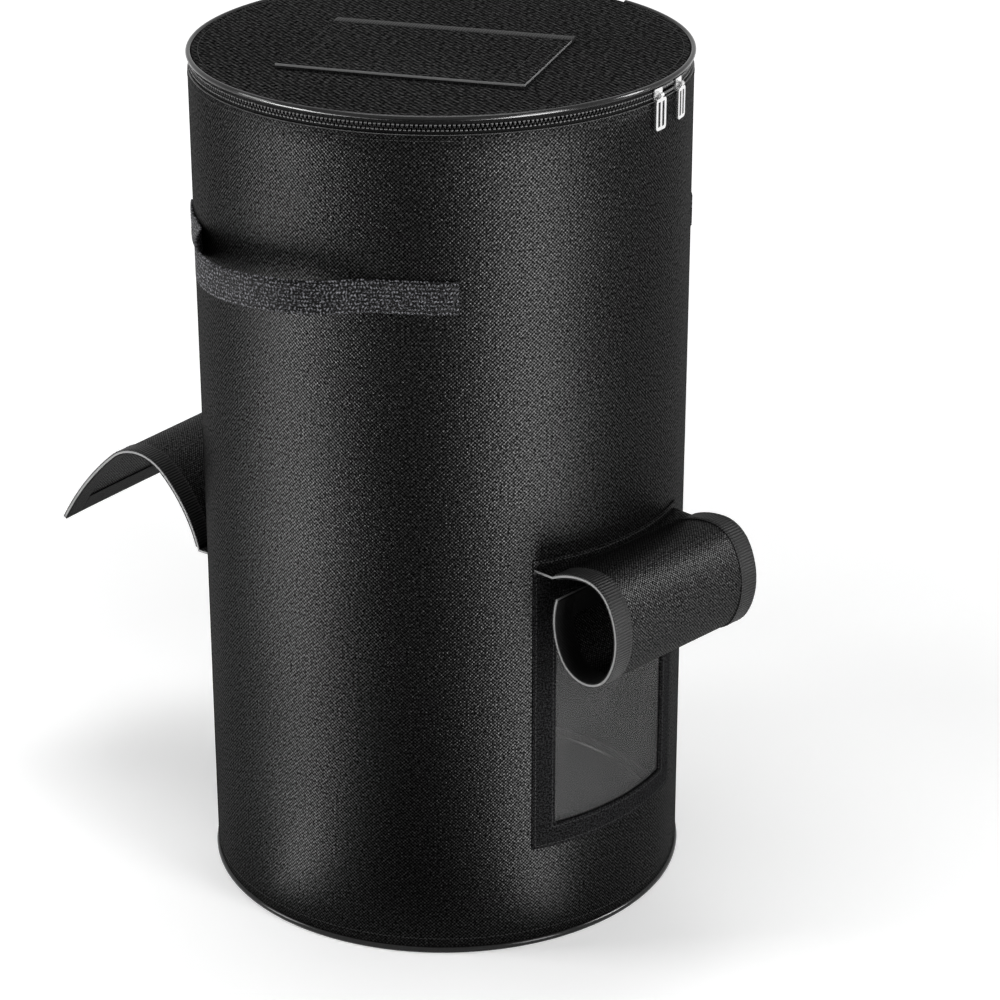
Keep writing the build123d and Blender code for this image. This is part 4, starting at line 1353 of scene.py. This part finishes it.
# %% Stitches on the bag
TAPE_MARGIN, HEM_ROW, FOOT_ROW = 3.0 * MM, 5.0 * MM, 9.0 * MM
STRAP_END_MARGIN, STRAP_SIDE_MARGIN = 5.0 * MM, 4.0 * MM


def wall_surface(u, v, lift):
    return on_wall(round_wall(u), v, lift)


def strap_surface(azimuth):
    return lambda u, v, lift: strap_spot(azimuth, u, v, lift)


whole = (wall_length(-180.0), wall_length(180.0))
hem_rows = (WALL_TOP - HEM_ROW, WALL_BOTTOM + FOOT_ROW)
hem_lines = [((whole[0], height), (whole[1], height)) for height in hem_rows]
frame_lines, header_lines = [], []
for door in doors.values():
    left, right = door["left"] - STRIP_WIDTH + TAPE_MARGIN, door["right"] + STRIP_WIDTH - TAPE_MARGIN
    frame_lines += box_lines(left, right, door["sill"] + TAPE_MARGIN, door["head"] - TAPE_MARGIN)
    frame_lines += box_lines(
        door["left"] - TAPE_MARGIN, door["right"] + TAPE_MARGIN,
        door["low"] - TAPE_MARGIN, door["high"] + TAPE_MARGIN,
    )
    header_seam = door["hinge"] + HEADER_RISE - TAPE_MARGIN
    header_lines.append(((left, header_seam), (right, header_seam)))

SEWN_FROM, SEWN_TO = STRAP_RUN - SEWN_RUN + STRAP_END_MARGIN, STRAP_RUN - STRAP_END_MARGIN
strap_half = STRAP_WIDTH / 2 - STRAP_SIDE_MARGIN
strap_lines = []
for end in (-1, 1):
    near, far = end * SEWN_FROM, end * SEWN_TO
    strap_lines += box_lines(near, far, -strap_half, strap_half)
    strap_lines += [((near, -strap_half), (far, strap_half)), ((near, strap_half), (far, -strap_half))]

strap_seams = [(strap_surface(azimuth), STRAP / 2, strap_lines) for azimuth in handles.values()]
bag_stitches = stitches(
    "bag_stitches", (wall_surface, THREAD_SEAT, hem_lines), (wall_surface, STRIP, frame_lines),
    (wall_surface, HEADER, header_lines), *strap_seams,
)
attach(bag_stitches, "bin")
print("faces of thread on the bag", len(bag_stitches.data.polygons))

# %% [markdown]
# The lid has a row inside its piping. The feed flap has two rows on three sides, over its hook tape.

# %% Stitches on the lid and its flap
RIM_ROW, RIM_ROW_END = LID_RADIUS - 6.0 * MM, 4.0
FEED_ROWS, FEED_ROW_END = (5.0 * MM, 20.0 * MM), 12.0 * MM


def lid_surface(u, v, lift):
    """The lid's top, with a length round its stitch row first."""
    return out(degrees(u / RIM_ROW)) * v + UP * (LID_TOP + lift)


rim_turns = (ZIP_START + RIM_ROW_END, ZIP_END - RIM_ROW_END)
rim_ends = [(radians(azimuth) * RIM_ROW, RIM_ROW) for azimuth in rim_turns]
lid_stitches = stitches("lid_stitches", (lid_surface, THREAD_SEAT, [tuple(rim_ends)]))
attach(lid_stitches, "lid")

feed_top = FEED_HINGE_HEIGHT + CLOTH / 2
feed_lines = []
back_edge = FEED_HINGE_BACK - FEED_ROW_END
for inset in FEED_ROWS:
    edge, front_edge = FEED_WIDTH / 2 - inset, inset - FEED_LENGTH / 2
    feed_lines += [
        ((-edge, back_edge), (-edge, front_edge)), ((-edge, front_edge), (edge, front_edge)),
        ((edge, front_edge), (edge, back_edge)),
    ]
feed_stitches = stitches(
    "feed_stitches", (lambda u, v, lift: feed_place(u, v, feed_top + lift), THREAD_SEAT, feed_lines)
)
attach(feed_stitches, "feed_flap")
print("faces of thread on the lid", len(lid_stitches.data.polygons), len(feed_stitches.data.polygons))

# %% [markdown]
# The bindings of the two door flaps are sewn along both their edges, and those rows follow the flap's line.

# %% Stitches on the door flaps
for name, door in doors.items():
    length, flap_lines = flap_length(door), []
    for inset in (TAPE_MARGIN, BINDING_WIDTH - TAPE_MARGIN):
        edge, last = DOOR_WIDTH / 2 - inset, length - inset
        flap_lines += [
            ((-edge, 2 * TRIM_START), (-edge, last)),
            ((edge, 2 * TRIM_START), (edge, last)),
            ((-edge, last), (edge, last)),
        ]
    thread = stitches(
        name + "_flap_stitches",
        (lambda u, v, lift: flap_spot(door, u, v, lift), CLOTH / 2 + BINDING, flap_lines),
    )
    start, end = bend_ends(name)
    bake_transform(thread)
    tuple(start)
    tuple(end)
    print(thread.name, len(thread.data.polygons), "faces")

# %% [markdown]
# ## Measure and finish
# Soft pieces may stand a few millimetres proud of the solids, and no more. The two boxes are written
# down side by side, so that a piece that has grown too far is seen at once.

# %% Sizes
boxes = {"cad": cad_box, "visual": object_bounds()}
for name, box in boxes.items():
    print(name, [[round(value, 4) for value in corner] for corner in box])
